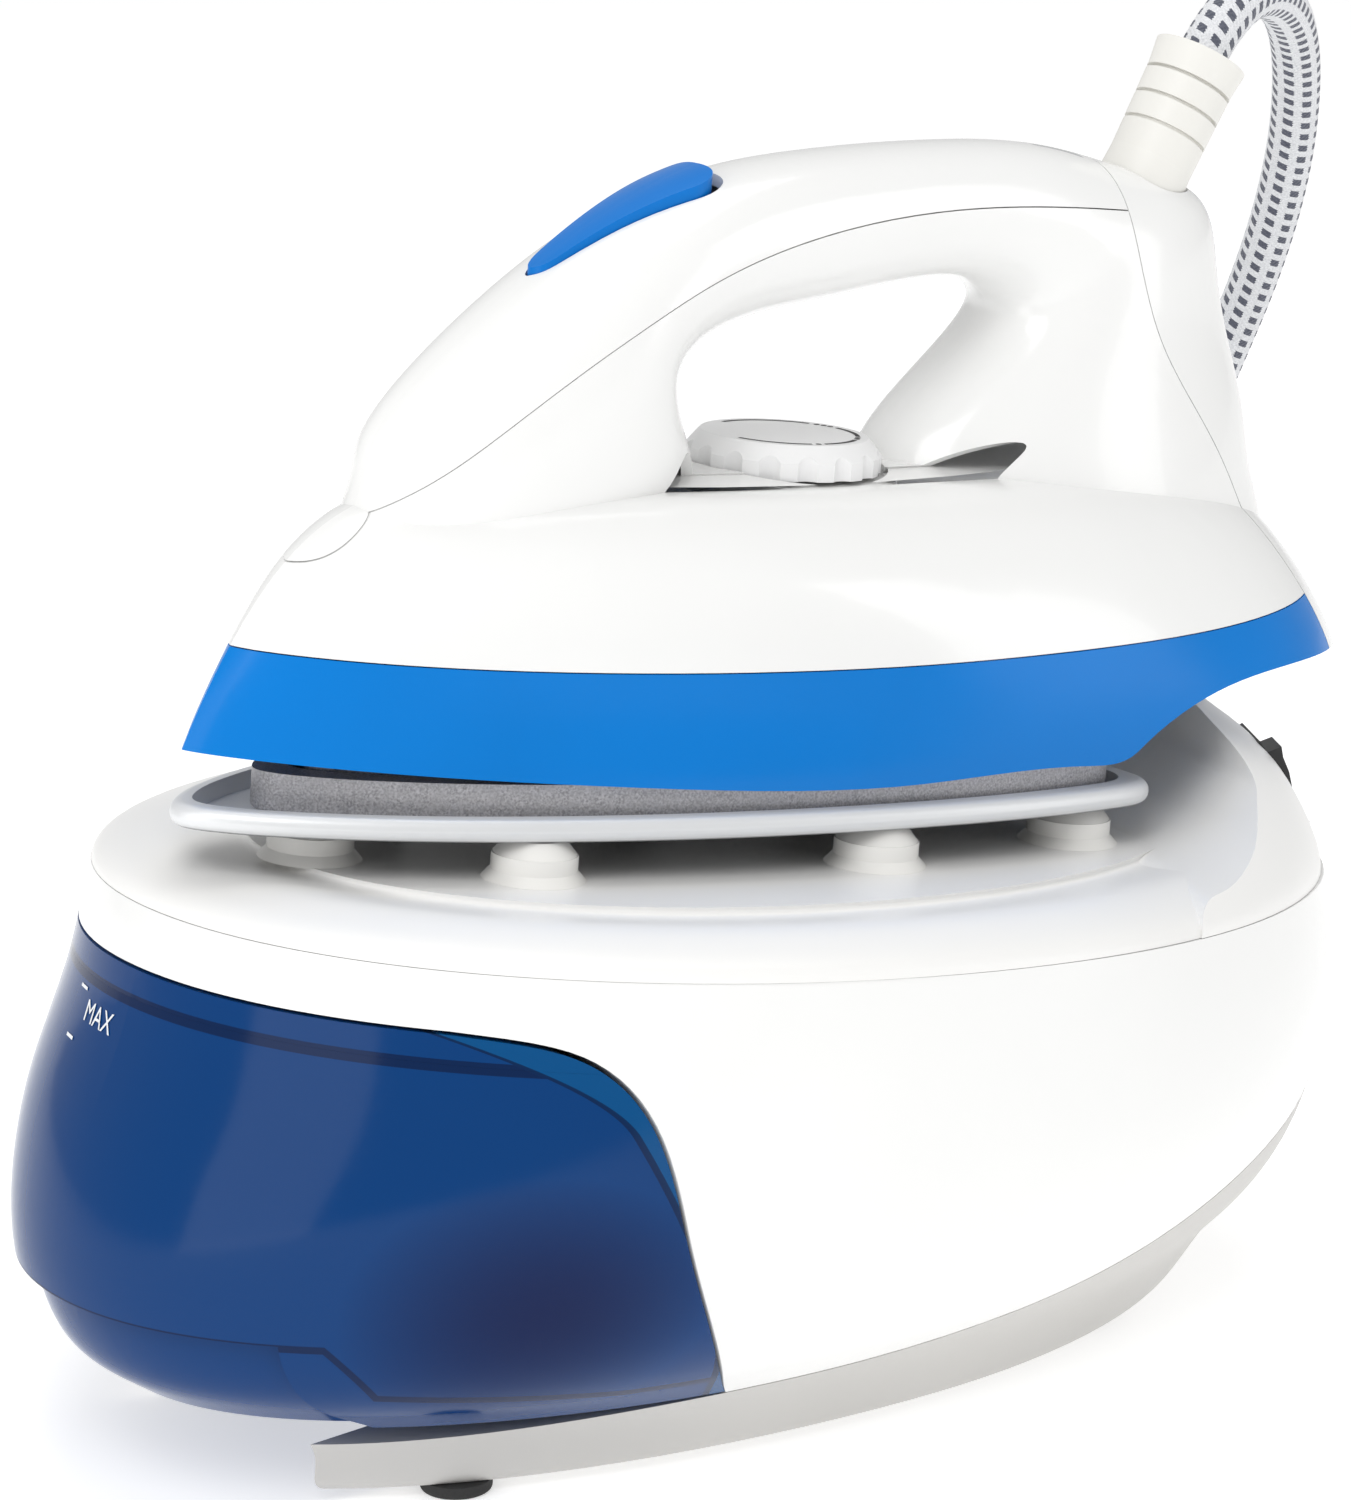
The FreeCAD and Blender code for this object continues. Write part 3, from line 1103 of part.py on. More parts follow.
# ---------------------------------------------------------------- sizes that follow from the driving ones
SOLE_PLAN = (-117.0 * IX, 87.5 * IX, 52.6 * IY)      # nose, back and half width of the soleplate
TRAY_PLAN = (-127.0 * IX, 85.5 * IX, 49.5 * IY)      # the same for the middle of the rest
TRAY_FLOOR = 2.4             # underside of the rest under the sole plane
RIM_TOP = 3.0                # rolled rim over the sole plane
PEG_TOP = TRAY_FLOOR + 0.05
PEG_SPOTS = [
    (-102.0 * IX, 0.0), (-66.0 * IX, -34.0 * IY), (-66.0 * IX, 34.0 * IY), (17.0 * IX, -49.0 * IY),
    (17.0 * IX, 49.0 * IY), (76.0 * IX, -46.0 * IY), (76.0 * IX, 46.0 * IY),
]
CHAMBER_TOP = 11.8
THERMO_TOP = 32.0
HEAT_SHIELD = 24.0
SOLE_SCREWS = [(-78.0 * IX, 0.0), (70.0 * IX, -29.0 * IY), (70.0 * IX, 29.0 * IY)]
VENTS = [(-100.0 + 14.0 * i, s * (7.0 + 4.6 * i)) for i in range(5) for s in (-1, 1)]
STEAM_U = 50.0 * IX
DECK_W = 69.8 * IZ
DIAL_U = 20.7 * IX
DIAL_TOP = DECK_W + 8.2
DIAL_GROOVES = 16
SPINDLE_R = 3.0
TRIGGER_FRONT = -53.0 * IX
TRIGGER_BACK = -9.5 * IX
TRIGGER_HALF = 9.0 * IY
TRIGGER_GAP = 0.6
TRIGGER_PIVOT_W = 111.0 * IZ
TRIGGER_PIVOT_U = TRIGGER_FRONT + 5.0
TRIGGER_AXIS_W = 112.0 * IZ
TRIGGER_POCKET = 2.3         # room behind the trigger, which swings back as it goes down
TRIGGER_PRESS = 2.3          # the finger under the trigger stands this far over the switch lever
SWITCH_U = TRIGGER_BACK - 14.0
LEVER_TOP = 108.8 * IZ
SPRING_U = TRIGGER_BACK - 26.5
SPRING_POST = 13.0
SPRING_LONG = 8.0
TRIGGER_PROUD = 1.3          # the trigger stands this much over the handle
TRIGGER_LIFT = 1.6           # and rises to its back end by this many degrees
LENS_U = 92.0 * IX
BOOT_LEAN = 27.5
BOOT_R = 10.6
BOOT_LONG = 31.0
BOOT_AT = (123.0 * IX, 0.0, 136.5 * IZ)


def boot_point(along):
    axis = boot_axis()
    return (BOOT_AT[0] + axis[0] * along, 0.0, BOOT_AT[2] + axis[2] * along)


BOOT_AT_TUBE_LOW = boot_point(-26.0)
BOOT_AT_TUBE = boot_point(-14.0)
REAR_SCREW = (159.0 * IX, 0.0, 74.0 * IZ)
REAR_SCREW_LEAN = 28.0

LID_THICK = 6.0
FILL_R = 11.0
CAP_R = 14.0
CAP_DEEP = 4.0
FILL_X = -126.0 * LX


def tank_lid_z(x):
    slope = math.tan(math.radians(TILT))
    return DECK_HEIGHT - slope * x - (SEAM_DEPTH + TANK_TOP_DROP) / math.cos(math.radians(TILT))


SOCKET_R = 7.5
SOCKET_Y = 22.0
SOCKET_Z = TANK_FLOOR + 14.0
VALVE_X = -56.0 * LX
SOCKET_X = VALVE_X + 2.4
GLAND_R = 10.0
GLAND_STAND = -4.0
BENCH = FOOT_HEIGHT + WALL + 0.05
BOILER_AT = (66.0 * LX, 0.0)
BOILER_LOW = 22.0
BOILER_R = 40.0
BOILER_H = 48.0
BOILER_PORTS = [(-20.0, -14.0), (20.0, -8.0), (-6.0, 20.0)]
PUMP_AT = (2.0 * LX, SOCKET_Y - 24.0, SOCKET_Z)
BOARD_AT = (-32.0 * LX, 0.0, 50.0)
SCREW_POSTS = [(-72.0 * LX, -48.0 * LY), (-72.0 * LX, 48.0 * LY), (95.0 * LX, -34.0 * LY), (95.0 * LX,
    34.0 * LY)]
FOOT_SPOTS = [(-98.0 * LX, -48.0 * LY), (-98.0 * LX, 48.0 * LY), (78.0 * LX, -44.0 * LY), (78.0 * LX,
    44.0 * LY)]
SWITCH_LONG = 21.0
SWITCH_WIDE = 15.0
SWITCH_LEAN = 58.0
SWITCH_TURN = 28.0
SWITCH_AT = (147.0 * LX, -32.0 * LY, 117.0)
SWITCH_SEAT = 3.0
HOSE_OUT = (0.0, 1.0, 0.0)
MAINS_OUT = (0.9, 0.436, 0.0)
HOSE_PORT = (38.0 * LX, 50.0 * LY, 45.0)
MAINS_PORT = (98.0 * LX, 34.0 * LY, 78.0)
GRIP_DEEP = 4.0              # finger hollow in the tank's lower front
HULL = hull()
HULL_IN = hull(WALL)
HULL_NEAR = hull(-0.05)
HULL_GRIP = hull(GRIP_DEEP)
HULL_GRIP_IN = hull(GRIP_DEEP + WALL)


def wall_distance(port, out):
    """How far the station's outer face is from a point inside, along a direction."""
    ahead = V(*out).normalize()
    line = Part.makeLine(V(*port), V(*port) + ahead * 250.0)
    return line.common(HULL).Length


# the hose's route: out of the boot, over and down behind the iron, along the table into the coil
BOOT_MOUTH = tilted_point(*boot_point(BOOT_LONG - 6.0))
BOOT_WAY = tilted_point(*boot_point(BOOT_LONG)) - tilted_point(*boot_point(0.0))
HOSE_JOIN = (217.0, 76.0, 176.0)
HOSE_UPPER = [
    (BOOT_MOUTH.x, BOOT_MOUTH.y, BOOT_MOUTH.z),
    (BOOT_MOUTH.x + BOOT_WAY.x * 0.86, 0.0, BOOT_MOUTH.z + BOOT_WAY.z * 0.86),
    (204.0, 23.0, 292.0),
    (222.0, 46.0, 240.0),
    HOSE_JOIN,
]
COIL_AT = (95.0 * LX, 222.0 * LY)
COIL_R = 72.0
COIL_TURNS = 2.5
COIL_LAYERS = 3
COIL_IN = (COIL_AT[0] + COIL_R, COIL_AT[1], HOSE_D * (COIL_LAYERS - 0.5) + 0.05)
COIL_OUT = (COIL_AT[0] - COIL_R, COIL_AT[1], HOSE_D / 2.0 + 0.05)
HOSE_LOWER = [
    HOSE_JOIN,
    (213.0, 100.0, 124.8),
    (201.0, 130.0, 82.0),
    (186.0, 162.0, 52.0),
    (COIL_IN[0] + 3.0, COIL_IN[1] - 34.0, COIL_IN[2] + 6.0),
    COIL_IN,
]
PORT_MOUTH = wall_distance(HOSE_PORT, HOSE_OUT) + HOSE_PORT[1]
HOSE_RETURN = [
    COIL_OUT,
    (COIL_OUT[0], COIL_OUT[1] - 34.0, COIL_OUT[2] + 1.0),
    (COIL_OUT[0] + 6.0, PORT_MOUTH + 58.0, 22.0),
    (HOSE_PORT[0], PORT_MOUTH + 32.0, HOSE_PORT[2]),
    (HOSE_PORT[0], PORT_MOUTH + 4.0, HOSE_PORT[2]),
]


IRON_NODES = [
    "soleplate", "sole_heating_element", "steam_chamber_lid", "iron_thermostat", "dial_spindle",
    "thermal_fuse",
    "heat_shield", "sole_screws", "steam_tube", "terminal_block", "skirt", "main_housing",
    "handle_top_cover",
    "rear_cover", "rear_cover_screw", "steam_trigger", "trigger_spring", "trigger_switch",
    "temperature_dial",
    "indicator_lens", "indicator_lamp", "hose_boot",
]
CORD_NODES = ["steam_hose_upper", "steam_hose_lower", "steam_hose_return", "steam_hose_coil"]


def make_everything():
    make_bottom_shell()
    make_feet()
    make_side_housing()
    make_top_cover()
    make_pegs()
    make_tray()
    make_tray_screws()
    make_switch()
    make_tank()
    make_filler_cap()
    make_tank_valve()
    make_boiler()
    make_boiler_fittings()
    make_pump()
    make_electrics()
    make_glands()
    make_case_screws()
    make_iron_shells()
    make_boot()
    make_trigger()
    make_lens()
    make_dial()
    make_sole()
    make_sole_parts()
    make_rear_screw()
    make_hose()


def true_box(shape):
    return shape.optimalBoundingBox(False, False)


def place_everything():
    """Tilt the iron onto its rest, then centre the whole part on the origin."""
    for name in IRON_NODES:
        pieces[name] = tilted(pieces[name])
    rest = [true_box(shape) for name, shape in pieces.items() if name not in CORD_NODES]
    low = min(b.XMin for b in rest)
    high = max(b.XMax for b in rest)
    shift = -(low + high) / 2.0
    for name in pieces:
        pieces[name].translate(V(shift, 0, 0))
    print("shift", round(shift, 4), "length", round(high - low, 1))
    print("width", round(max(b.YMax for b in rest), 2), "height", round(max(b.ZMax for b in rest), 2))
    return shift


def report_points(shift):
    """Print the places that the joints use."""
    a = math.radians(TILT)
    move = V(shift, 0, 0)
    print("iron frame up", (round(math.sin(a), 5), 0, round(math.cos(a), 5)))
    print("dial", tilted_point(DIAL_U, 0, DIAL_TOP) + move)
    print("trigger pivot", tilted_point(TRIGGER_PIVOT_U, 0, TRIGGER_AXIS_W) + move)
    print("switch", V(*SWITCH_AT) + move)
    print("filler cap", V(FILL_X, 0, tank_lid_z(FILL_X)) + move)
    print("boot mouth", BOOT_MOUTH + move)
    print("hose upper", [tuple(round(c, 1) for c in V(*p) + move) for p in HOSE_UPPER])
    print("hose lower", [tuple(round(c, 1) for c in V(*p) + move) for p in HOSE_LOWER])
    print("hose return", [tuple(round(c, 1) for c in V(*p) + move) for p in HOSE_RETURN])
    print("coil centre", round(COIL_AT[0] + shift, 2), round(COIL_AT[1], 2), "sole plan", SOLE_PLAN)


def export_everything():
    for name, shape in pieces.items():
        shape.exportStep("parts/" + name + ".step")


make_everything()
SHIFT = place_everything()
report_points(SHIFT)
export_everything()
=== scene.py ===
import math

import bmesh
import bpy
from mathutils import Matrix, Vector


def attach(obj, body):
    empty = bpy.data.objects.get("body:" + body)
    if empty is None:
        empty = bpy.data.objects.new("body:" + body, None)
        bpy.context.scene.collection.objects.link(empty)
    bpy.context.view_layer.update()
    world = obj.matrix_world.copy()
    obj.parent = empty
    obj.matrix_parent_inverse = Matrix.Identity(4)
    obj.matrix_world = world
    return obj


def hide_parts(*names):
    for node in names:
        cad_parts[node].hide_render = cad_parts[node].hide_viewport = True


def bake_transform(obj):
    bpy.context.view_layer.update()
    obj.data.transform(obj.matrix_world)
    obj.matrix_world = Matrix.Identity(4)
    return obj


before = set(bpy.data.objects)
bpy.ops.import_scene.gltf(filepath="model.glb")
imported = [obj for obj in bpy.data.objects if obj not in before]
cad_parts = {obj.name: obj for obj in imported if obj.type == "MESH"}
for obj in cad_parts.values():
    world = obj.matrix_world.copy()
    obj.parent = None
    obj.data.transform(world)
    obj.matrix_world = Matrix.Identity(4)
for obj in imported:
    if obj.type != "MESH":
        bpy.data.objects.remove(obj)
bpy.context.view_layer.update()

TILT = math.radians(4.9)                               # slope of the rest and the iron
IRON_UP = Vector((math.sin(TILT), 0.0, math.cos(TILT)))
IRON_BACK = Vector((math.cos(TILT), 0.0, -math.sin(TILT)))
IRON_ZERO = Vector((-0.0068558, 0.0, 0.1358))          # sole plane at the middle of the station
HOSE_D = 0.012                                         # outside diameter of the steam hose
BOOT_MOUTH = (0.14075, 0.0, 0.2824)                    # where the hose leaves the iron's boot
LOOP_END = (0.2101, 0.0760, 0.1760)                    # below here the hose stays with the station
COIL_CENTRE = Vector((0.08814, 0.222, 0.0))
COIL_R = 0.072
COIL_TURNS = 2.5
COIL_POINTS = 16                                       # control points on one turn
COIL_GAP = 0.00005                                     # air between two layers of the coil
DIAL_TOP = Vector((0.020431, 0.0, 0.211747))           # centre of the dial's top face
PRINT_LIFT = 0.00006                                   # printed marks stand this proud of the dial
MM = 1000.0                                            # millimetres in one metre

# the tank's lines, in millimetres, for its material
TANK_FLOOR = 20.0
TANK_DEPTH = 82.6                                      # floor to top edge at the middle of the station
TANK_SLOPE = 0.0857                                    # the top edge drops to the back by this share
INNER_EDGE = -58.0                                     # inner wall at the floor, along the station
INNER_LEAN = -41.0                                     # how far it has moved forward at the top
INNER_CURL = -26.0                                     # and how much more in its rounded upper corner
WELD_HEIGHT = 26.5                                     # weld line at the back, over the table
WELD_RISE = 5.0                                        # it rises this much up to the grip recess
WELD_STEP = 13.0                                       # and this much more over the recess


def on_iron(u, y, w):
    """A point given along, across and above the sole, in the iron's own frame."""
    return IRON_ZERO + IRON_BACK * u + Vector((0.0, y, 0.0)) + IRON_UP * w


# ---------------------------------------------------------------- camera, floor and light
def make_camera():
    data = bpy.data.cameras.new("camera")
    camera = bpy.data.objects.new("camera", data)
    bpy.context.collection.objects.link(camera)
    camera.location = (-0.7515, -1.0111, 0.4715)
    aim = Vector((-0.00682, 0.00482, 0.140))
    camera.rotation_euler = (aim - camera.location).to_track_quat("-Z", "Y").to_euler()
    data.sensor_width = 36.0
    data.lens = 136.46
    data.clip_start = 0.01
    data.clip_end = 100.0
    bpy.context.scene.camera = camera


def area_light(name, place, aim, size, power, tint=(1.0, 1.0, 1.0)):
    data = bpy.data.lights.new(name, "AREA")
    data.shape = "RECTANGLE"
    data.size = size[0]
    data.size_y = size[1]
    data.energy = power
    data.color = tint
    lamp = bpy.data.objects.new(name, data)
    bpy.context.collection.objects.link(lamp)
    lamp.location = place
    lamp.rotation_euler = (Vector(aim) - Vector(place)).to_track_quat("-Z", "Y").to_euler()


def floor_paper():
    """A seamless white sweep, very slightly self-lit so that it stays even."""
    n = Nodes("floor_paper")
    tooth = n.noise(900.0, 2.0)
    n.colour(n.ramp(tooth, [(0.3, (0.76, 0.76, 0.76)), (0.7, (0.78, 0.78, 0.78))]))
    n.set(Roughness=0.9, Emission_Strength=0.52)
    n.shader.inputs["Emission Color"].default_value = (1.0, 1.0, 1.0, 1.0)
    return n.material


def make_stage():
    bm = bmesh.new()
    bmesh.ops.create_grid(bm, x_segments=1, y_segments=1, size=6.0)
    floor = mesh_object("floor", bm)
    floor.data.materials.append(floor_paper())
    world = bpy.data.worlds.new("studio")
    bpy.context.scene.world = world
    world.use_nodes = True
    sky = world.node_tree.nodes["Background"]
    sky.inputs["Color"].default_value = (1.0, 1.0, 1.0, 1.0)
    sky.inputs["Strength"].default_value = 0.55
    area_light("key", (-1.1, -0.9, 1.7), (0.0, 0.0, 0.12), (1.1, 1.1), 14.0)
    area_light("side_strip", (-1.5, -0.25, 0.5), (0.0, 0.0, 0.12), (0.9, 1.2), 5.0)
    area_light("right_strip", (1.4, -1.5, 0.75), (0.0, 0.0, 0.15), (0.5, 1.4), 4.5)
    area_light("top", (0.25, 0.3, 1.9), (0.0, 0.0, 0.1), (1.4, 1.0), 7.5)
    bpy.context.scene.view_settings.view_transform = "Standard"


# ---------------------------------------------------------------- small mesh and node helpers
def mesh_object(name, bm, smooth=False):
    mesh = bpy.data.meshes.new(name)
    bm.to_mesh(mesh)
    bm.free()
    if smooth:
        mesh.shade_smooth()
    piece = bpy.data.objects.new(name, mesh)
    bpy.context.collection.objects.link(piece)
    return piece


class Nodes:
    """A short way to write one material's node tree."""

    def __init__(self, name):
        self.material = bpy.data.materials.new(name)
        self.material.use_nodes = True
        self.tree = self.material.node_tree
        self.shader = self.tree.nodes["Principled BSDF"]

    def add(self, kind, **settings):
        node = self.tree.nodes.new(kind)
        for key, value in settings.items():
            setattr(node, key, value)
        return node

    def link(self, source, target):
        self.tree.links.new(source, target)

    def set(self, **values):
        for key, value in values.items():
            name = key.replace("_", " ")
            self.shader.inputs[name].default_value = value

    def math(self, operation, a, b=None, clamp=False):
        node = self.add("ShaderNodeMath", operation=operation, use_clamp=clamp)
        for index, value in ((0, a), (1, b)):
            if value is None:
                continue
            if isinstance(value, (int, float)):
                node.inputs[index].default_value = value
            else:
                self.link(value, node.inputs[index])
        return node.outputs[0]

    def near(self, a, b, reach):
        """1 where a and b differ by less than the reach, else 0."""
        return self.math("LESS_THAN", self.math("ABSOLUTE", self.math("SUBTRACT", a, b)), reach)

    def place(self):
        return self.add("ShaderNodeTexCoord").outputs["Object"]

    def noise(self, scale, detail=2.0, place=None):
        node = self.add("ShaderNodeTexNoise")
        node.inputs["Scale"].default_value = scale
        node.inputs["Detail"].default_value = detail
        self.link(place or self.place(), node.inputs["Vector"])
        return node.outputs["Fac"]

    def ramp(self, source, stops):
        node = self.add("ShaderNodeValToRGB")
        ramp = node.color_ramp
        while len(ramp.elements) < len(stops):
            ramp.elements.new(0.5)
        for element, (at, colour) in zip(ramp.elements, stops):
            element.position = at
            element.color = (*colour, 1.0)
        self.link(source, node.inputs["Fac"])
        return node.outputs["Color"]

    def mix(self, factor, a, b):
        node = self.add("ShaderNodeMix", data_type="RGBA")
        self.link(factor, node.inputs[0])
        for socket, value in ((node.inputs[6], a), (node.inputs[7], b)):
            if isinstance(value, tuple):
                socket.default_value = (*value, 1.0)
            else:
                self.link(value, socket)
        return node.outputs[2]

    def bump(self, height, strength, distance=0.0002):
        node = self.add("ShaderNodeBump")
        node.inputs["Strength"].default_value = strength
        node.inputs["Distance"].default_value = distance
        self.link(height, node.inputs["Height"])
        self.link(node.outputs["Normal"], self.shader.inputs["Normal"])

    def between(self, source, low, high):
        node = self.add("ShaderNodeMapRange")
        node.inputs["To Min"].default_value = low
        node.inputs["To Max"].default_value = high
        self.link(source, node.inputs["Value"])
        return node.outputs["Result"]

    def colour(self, socket):
        self.link(socket, self.shader.inputs["Base Color"])

    def rough(self, socket):
        self.link(socket, self.shader.inputs["Roughness"])


def shade(colour, factor):
    return tuple(min(1.0, c * factor) for c in colour)


def plastic(name, colour, rough, grain=900.0, bump=0.05, vary=0.03, coat=0.0, shine=0.5):
    """Moulded plastic: a faint colour drift, a fine skin grain and uneven gloss."""
    n = Nodes(name)
    drift = n.noise(14.0, 3.0)
    n.colour(n.ramp(drift, [(0.3, shade(colour, 1.0 - vary)), (0.7, shade(colour, 1.0 + vary))]))
    fine = n.noise(grain, 2.0)
    n.rough(n.between(fine, rough * 0.85, rough * 1.2))
    n.bump(fine, bump, 0.00008)
    if coat:
        n.set(Coat_Weight=coat, Coat_Roughness=0.05)
    n.set(IOR=1.47, Specular_IOR_Level=shine)
    return n.material


def metal(name, colour, rough, grain=60.0, stretch=(1.0, 14.0, 14.0), bump=0.08):
    """Drawn or machined metal with fine lines along X."""
    n = Nodes(name)
    mapping = n.add("ShaderNodeMapping")
    mapping.inputs["Scale"].default_value = stretch
    n.link(n.place(), mapping.inputs["Vector"])
    lines = n.noise(grain, 4.0, mapping.outputs["Vector"])
    n.colour(n.ramp(lines, [(0.2, shade(colour, 0.86)), (0.8, shade(colour, 1.08))]))
    n.rough(n.between(lines, rough * 0.8, rough * 1.25))
    n.bump(lines, bump, 0.00005)
    n.set(Metallic=1.0)
    return n.material


def speckled_cast(name):
    """The soleplate: coated cast aluminium, its edge full of small light and dark specks."""
    n = Nodes(name)
    specks = n.noise(1900.0, 3.0)
    broad = n.noise(420.0, 3.0)
    stops = [(0.36, (0.20, 0.195, 0.20)), (0.50, (0.42, 0.41, 0.42)), (0.66, (0.66, 0.65, 0.66))]
    base = n.ramp(specks, stops)
    n.colour(n.mix(broad, base, (0.45, 0.44, 0.45)))
    n.rough(n.between(specks, 0.36, 0.6))
    n.bump(specks, 0.35, 0.0002)
    n.set(Metallic=0.45)
    return n.material


def height_over_sole(n):
    """Height over the sole plane, in millimetres, from the object's own coordinates."""
    parts = n.add("ShaderNodeSeparateXYZ")
    n.link(n.place(), parts.inputs[0])
    x = n.math("MULTIPLY", parts.outputs["X"], IRON_UP.x * MM)
    z = n.math("MULTIPLY", parts.outputs["Z"], IRON_UP.z * MM)
    zero = IRON_ZERO.dot(IRON_UP) * MM
    return n.math("SUBTRACT", n.math("ADD", x, z), zero)


def tray_finish(name):
    """Pressed steel rest: dish darker below the rim, pale satin rolled rim."""
    n = Nodes(name)
    height = height_over_sole(n)
    rim = n.math("MULTIPLY", n.math("ADD", height, 2.2), 2.0, clamp=True)
    grain = n.noise(700.0, 3.0)
    dark = n.ramp(grain, [(0.3, (0.10, 0.105, 0.115)), (0.7, (0.15, 0.155, 0.165))])
    n.colour(n.mix(rim, dark, (0.74, 0.75, 0.76)))
    n.rough(n.between(grain, 0.34, 0.46))
    n.bump(grain, 0.10, 0.0001)
    n.set(Metallic=0.30)
    return n.material


def tank_share(n, x, z):
    """Height in the tank as a share, 0 at its floor and 1 at its sloping top edge."""
    depth = n.math("SUBTRACT", TANK_DEPTH, n.math("MULTIPLY", x, TANK_SLOPE))
    return n.math("DIVIDE", n.math("SUBTRACT", z, TANK_FLOOR), depth)


def ahead_of_inner_wall(n, x, share):
    """How far ahead of the inner back wall a point is: the wall leans forward and curls over at the top."""
    bend = n.math("MULTIPLY", n.math("SUBTRACT", share, 0.78), 4.5, clamp=True)
    lean = n.math("MULTIPLY", share, INNER_LEAN)
    curl = n.math("MULTIPLY", n.math("MULTIPLY", bend, bend), INNER_CURL)
    wall = n.math("ADD", n.math("ADD", lean, curl), INNER_EDGE)
    return n.math("SUBTRACT", wall, x)


def weld_height(n, x):
    """Height of the weld line: level at the back, rising a little, then stepping over the grip recess."""
    rise = n.math("MULTIPLY", n.math("MAXIMUM", n.math("SUBTRACT", -82.0, x), 0.0), 0.096)
    step = n.math("MULTIPLY", n.math("SUBTRACT", -134.0, x), 1.0 / 12.0, clamp=True)
    over = n.math("ADD", n.math("MINIMUM", rise, WELD_RISE), n.math("MULTIPLY", step, WELD_STEP))
    return n.math("ADD", over, WELD_HEIGHT)


def off_shadow(n, x, z):
    """0 in the middle of the painted shadow patch low in the tank, 1 well away from it."""
    away_x = n.math("POWER", n.math("MULTIPLY", n.math("ADD", x, 108.0), 1.0 / 26.0), 2.0)
    away_z = n.math("POWER", n.math("MULTIPLY", n.math("SUBTRACT", z, 52.0), 1.0 / 22.0), 2.0)
    return n.math("MULTIPLY", n.math("ADD", away_x, away_z), 0.5, clamp=True)


def tank_finish(name):
    """Deep blue, slightly see-through plastic; the inner wall shows as a dark line inside the edge, and a
    painted shadow darkens a patch low in the tank.
    """
    n = Nodes(name)
    parts = n.add("ShaderNodeSeparateXYZ")
    n.link(n.place(), parts.inputs[0])
    x = n.math("MULTIPLY", parts.outputs["X"], MM)
    z = n.math("MULTIPLY", parts.outputs["Z"], MM)
    share = tank_share(n, x, z)
    ahead = ahead_of_inner_wall(n, x, share)
    inside = n.math("MULTIPLY", ahead, 0.6, clamp=True)
    wall = n.near(ahead, 0.6, 0.8)
    floor = n.math("MULTIPLY", n.near(z, weld_height(n, x), 0.9), inside)
    roof = n.math("MULTIPLY", n.near(share, 0.925, 0.014), inside)
    line = n.math("MULTIPLY", n.math("MAXIMUM", n.math("MAXIMUM", wall, floor), roof), 0.8)
    # painted shadow: the cavity blue turns to a darker blue in a patch low in the tank
    cavity_blue_painted_shadow = n.mix(off_shadow(n, x, z), (0.0, 0.010, 0.070), (0.0, 0.042, 0.175))
    body = n.mix(inside, (0.0, 0.072, 0.225), cavity_blue_painted_shadow)
    n.colour(n.mix(line, body, (0.0, 0.008, 0.045)))
    fine = n.noise(500.0, 2.0)
    n.rough(n.between(fine, 0.10, 0.16))
    n.bump(fine, 0.02, 0.00005)
    n.set(Transmission_Weight=0.08, IOR=1.42, Specular_IOR_Level=0.24)
    return n.material


def braid_finish(name):
    """White woven sleeve with short dark flecks in lengthwise columns, each column a little further on."""
    n = Nodes(name)
    columns = 8.0
    repeat = 0.0035
    column_shift = 0.375
    fleck_slant = 0.35
    fleck_length = 0.52
    fleck_half_width = 0.31
    threads = 3.0
    weft_pitch = 0.0012
    parts = n.add("ShaderNodeSeparateXYZ")
    n.link(n.add("ShaderNodeUVMap").outputs["UV"], parts.inputs[0])
    across = n.math("MULTIPLY", parts.outputs["X"], columns)
    column = n.math("FLOOR", across)
    inside = n.math("FRACT", across)
    along = n.math("DIVIDE", parts.outputs["Y"], repeat)
    slide = n.math("MULTIPLY", column, column_shift)
    slant = n.math("MULTIPLY", inside, fleck_slant)
    phase = n.math("FRACT", n.math("ADD", n.math("ADD", along, slide), slant))
    long_enough = n.math("LESS_THAN", phase, fleck_length)
    centred = n.math("ABSOLUTE", n.math("SUBTRACT", inside, 0.5))
    teeth = n.math("MULTIPLY", n.math("PINGPONG", n.math("MULTIPLY", phase, 5.2), 0.5), 0.14)
    wide_enough = n.math("LESS_THAN", n.math("ADD", centred, teeth), fleck_half_width)
    fleck = n.math("MULTIPLY", long_enough, wide_enough)
    wear = n.noise(2600.0, 2.0)
    pale = n.ramp(wear, [(0.3, (0.66, 0.67, 0.70)), (0.7, (0.86, 0.87, 0.89))])
    dark = n.ramp(wear, [(0.3, (0.06, 0.065, 0.095)), (0.7, (0.12, 0.13, 0.17))])
    n.colour(n.mix(fleck, pale, dark))
    n.set(Roughness=0.72, Sheen_Weight=0.25, Sheen_Roughness=0.5)
    warp = n.math("SINE", n.math("MULTIPLY", parts.outputs["X"], columns * threads * 2.0 * math.pi))
    weft = n.math("SINE", n.math("MULTIPLY", parts.outputs["Y"], 2.0 * math.pi / weft_pitch))
    n.bump(n.math("ADD", n.math("MULTIPLY", warp, weft), n.math("MULTIPLY", fleck, 0.8)), 0.55, 0.00025)
    return n.material


def board_finish(name):
    """Circuit board green with thin lighter tracks."""
    n = Nodes(name)
    brick = n.add("ShaderNodeTexBrick")
    brick.inputs["Scale"].default_value = 260.0
    brick.inputs["Color1"].default_value = (0.02, 0.16, 0.06, 1.0)
    brick.inputs["Color2"].default_value = (0.03, 0.20, 0.08, 1.0)
    brick.inputs["Mortar"].default_value = (0.25, 0.42, 0.22, 1.0)
    n.link(n.place(), brick.inputs["Vector"])
    n.colour(brick.outputs["Color"])
    n.set(Roughness=0.4)
    return n.material


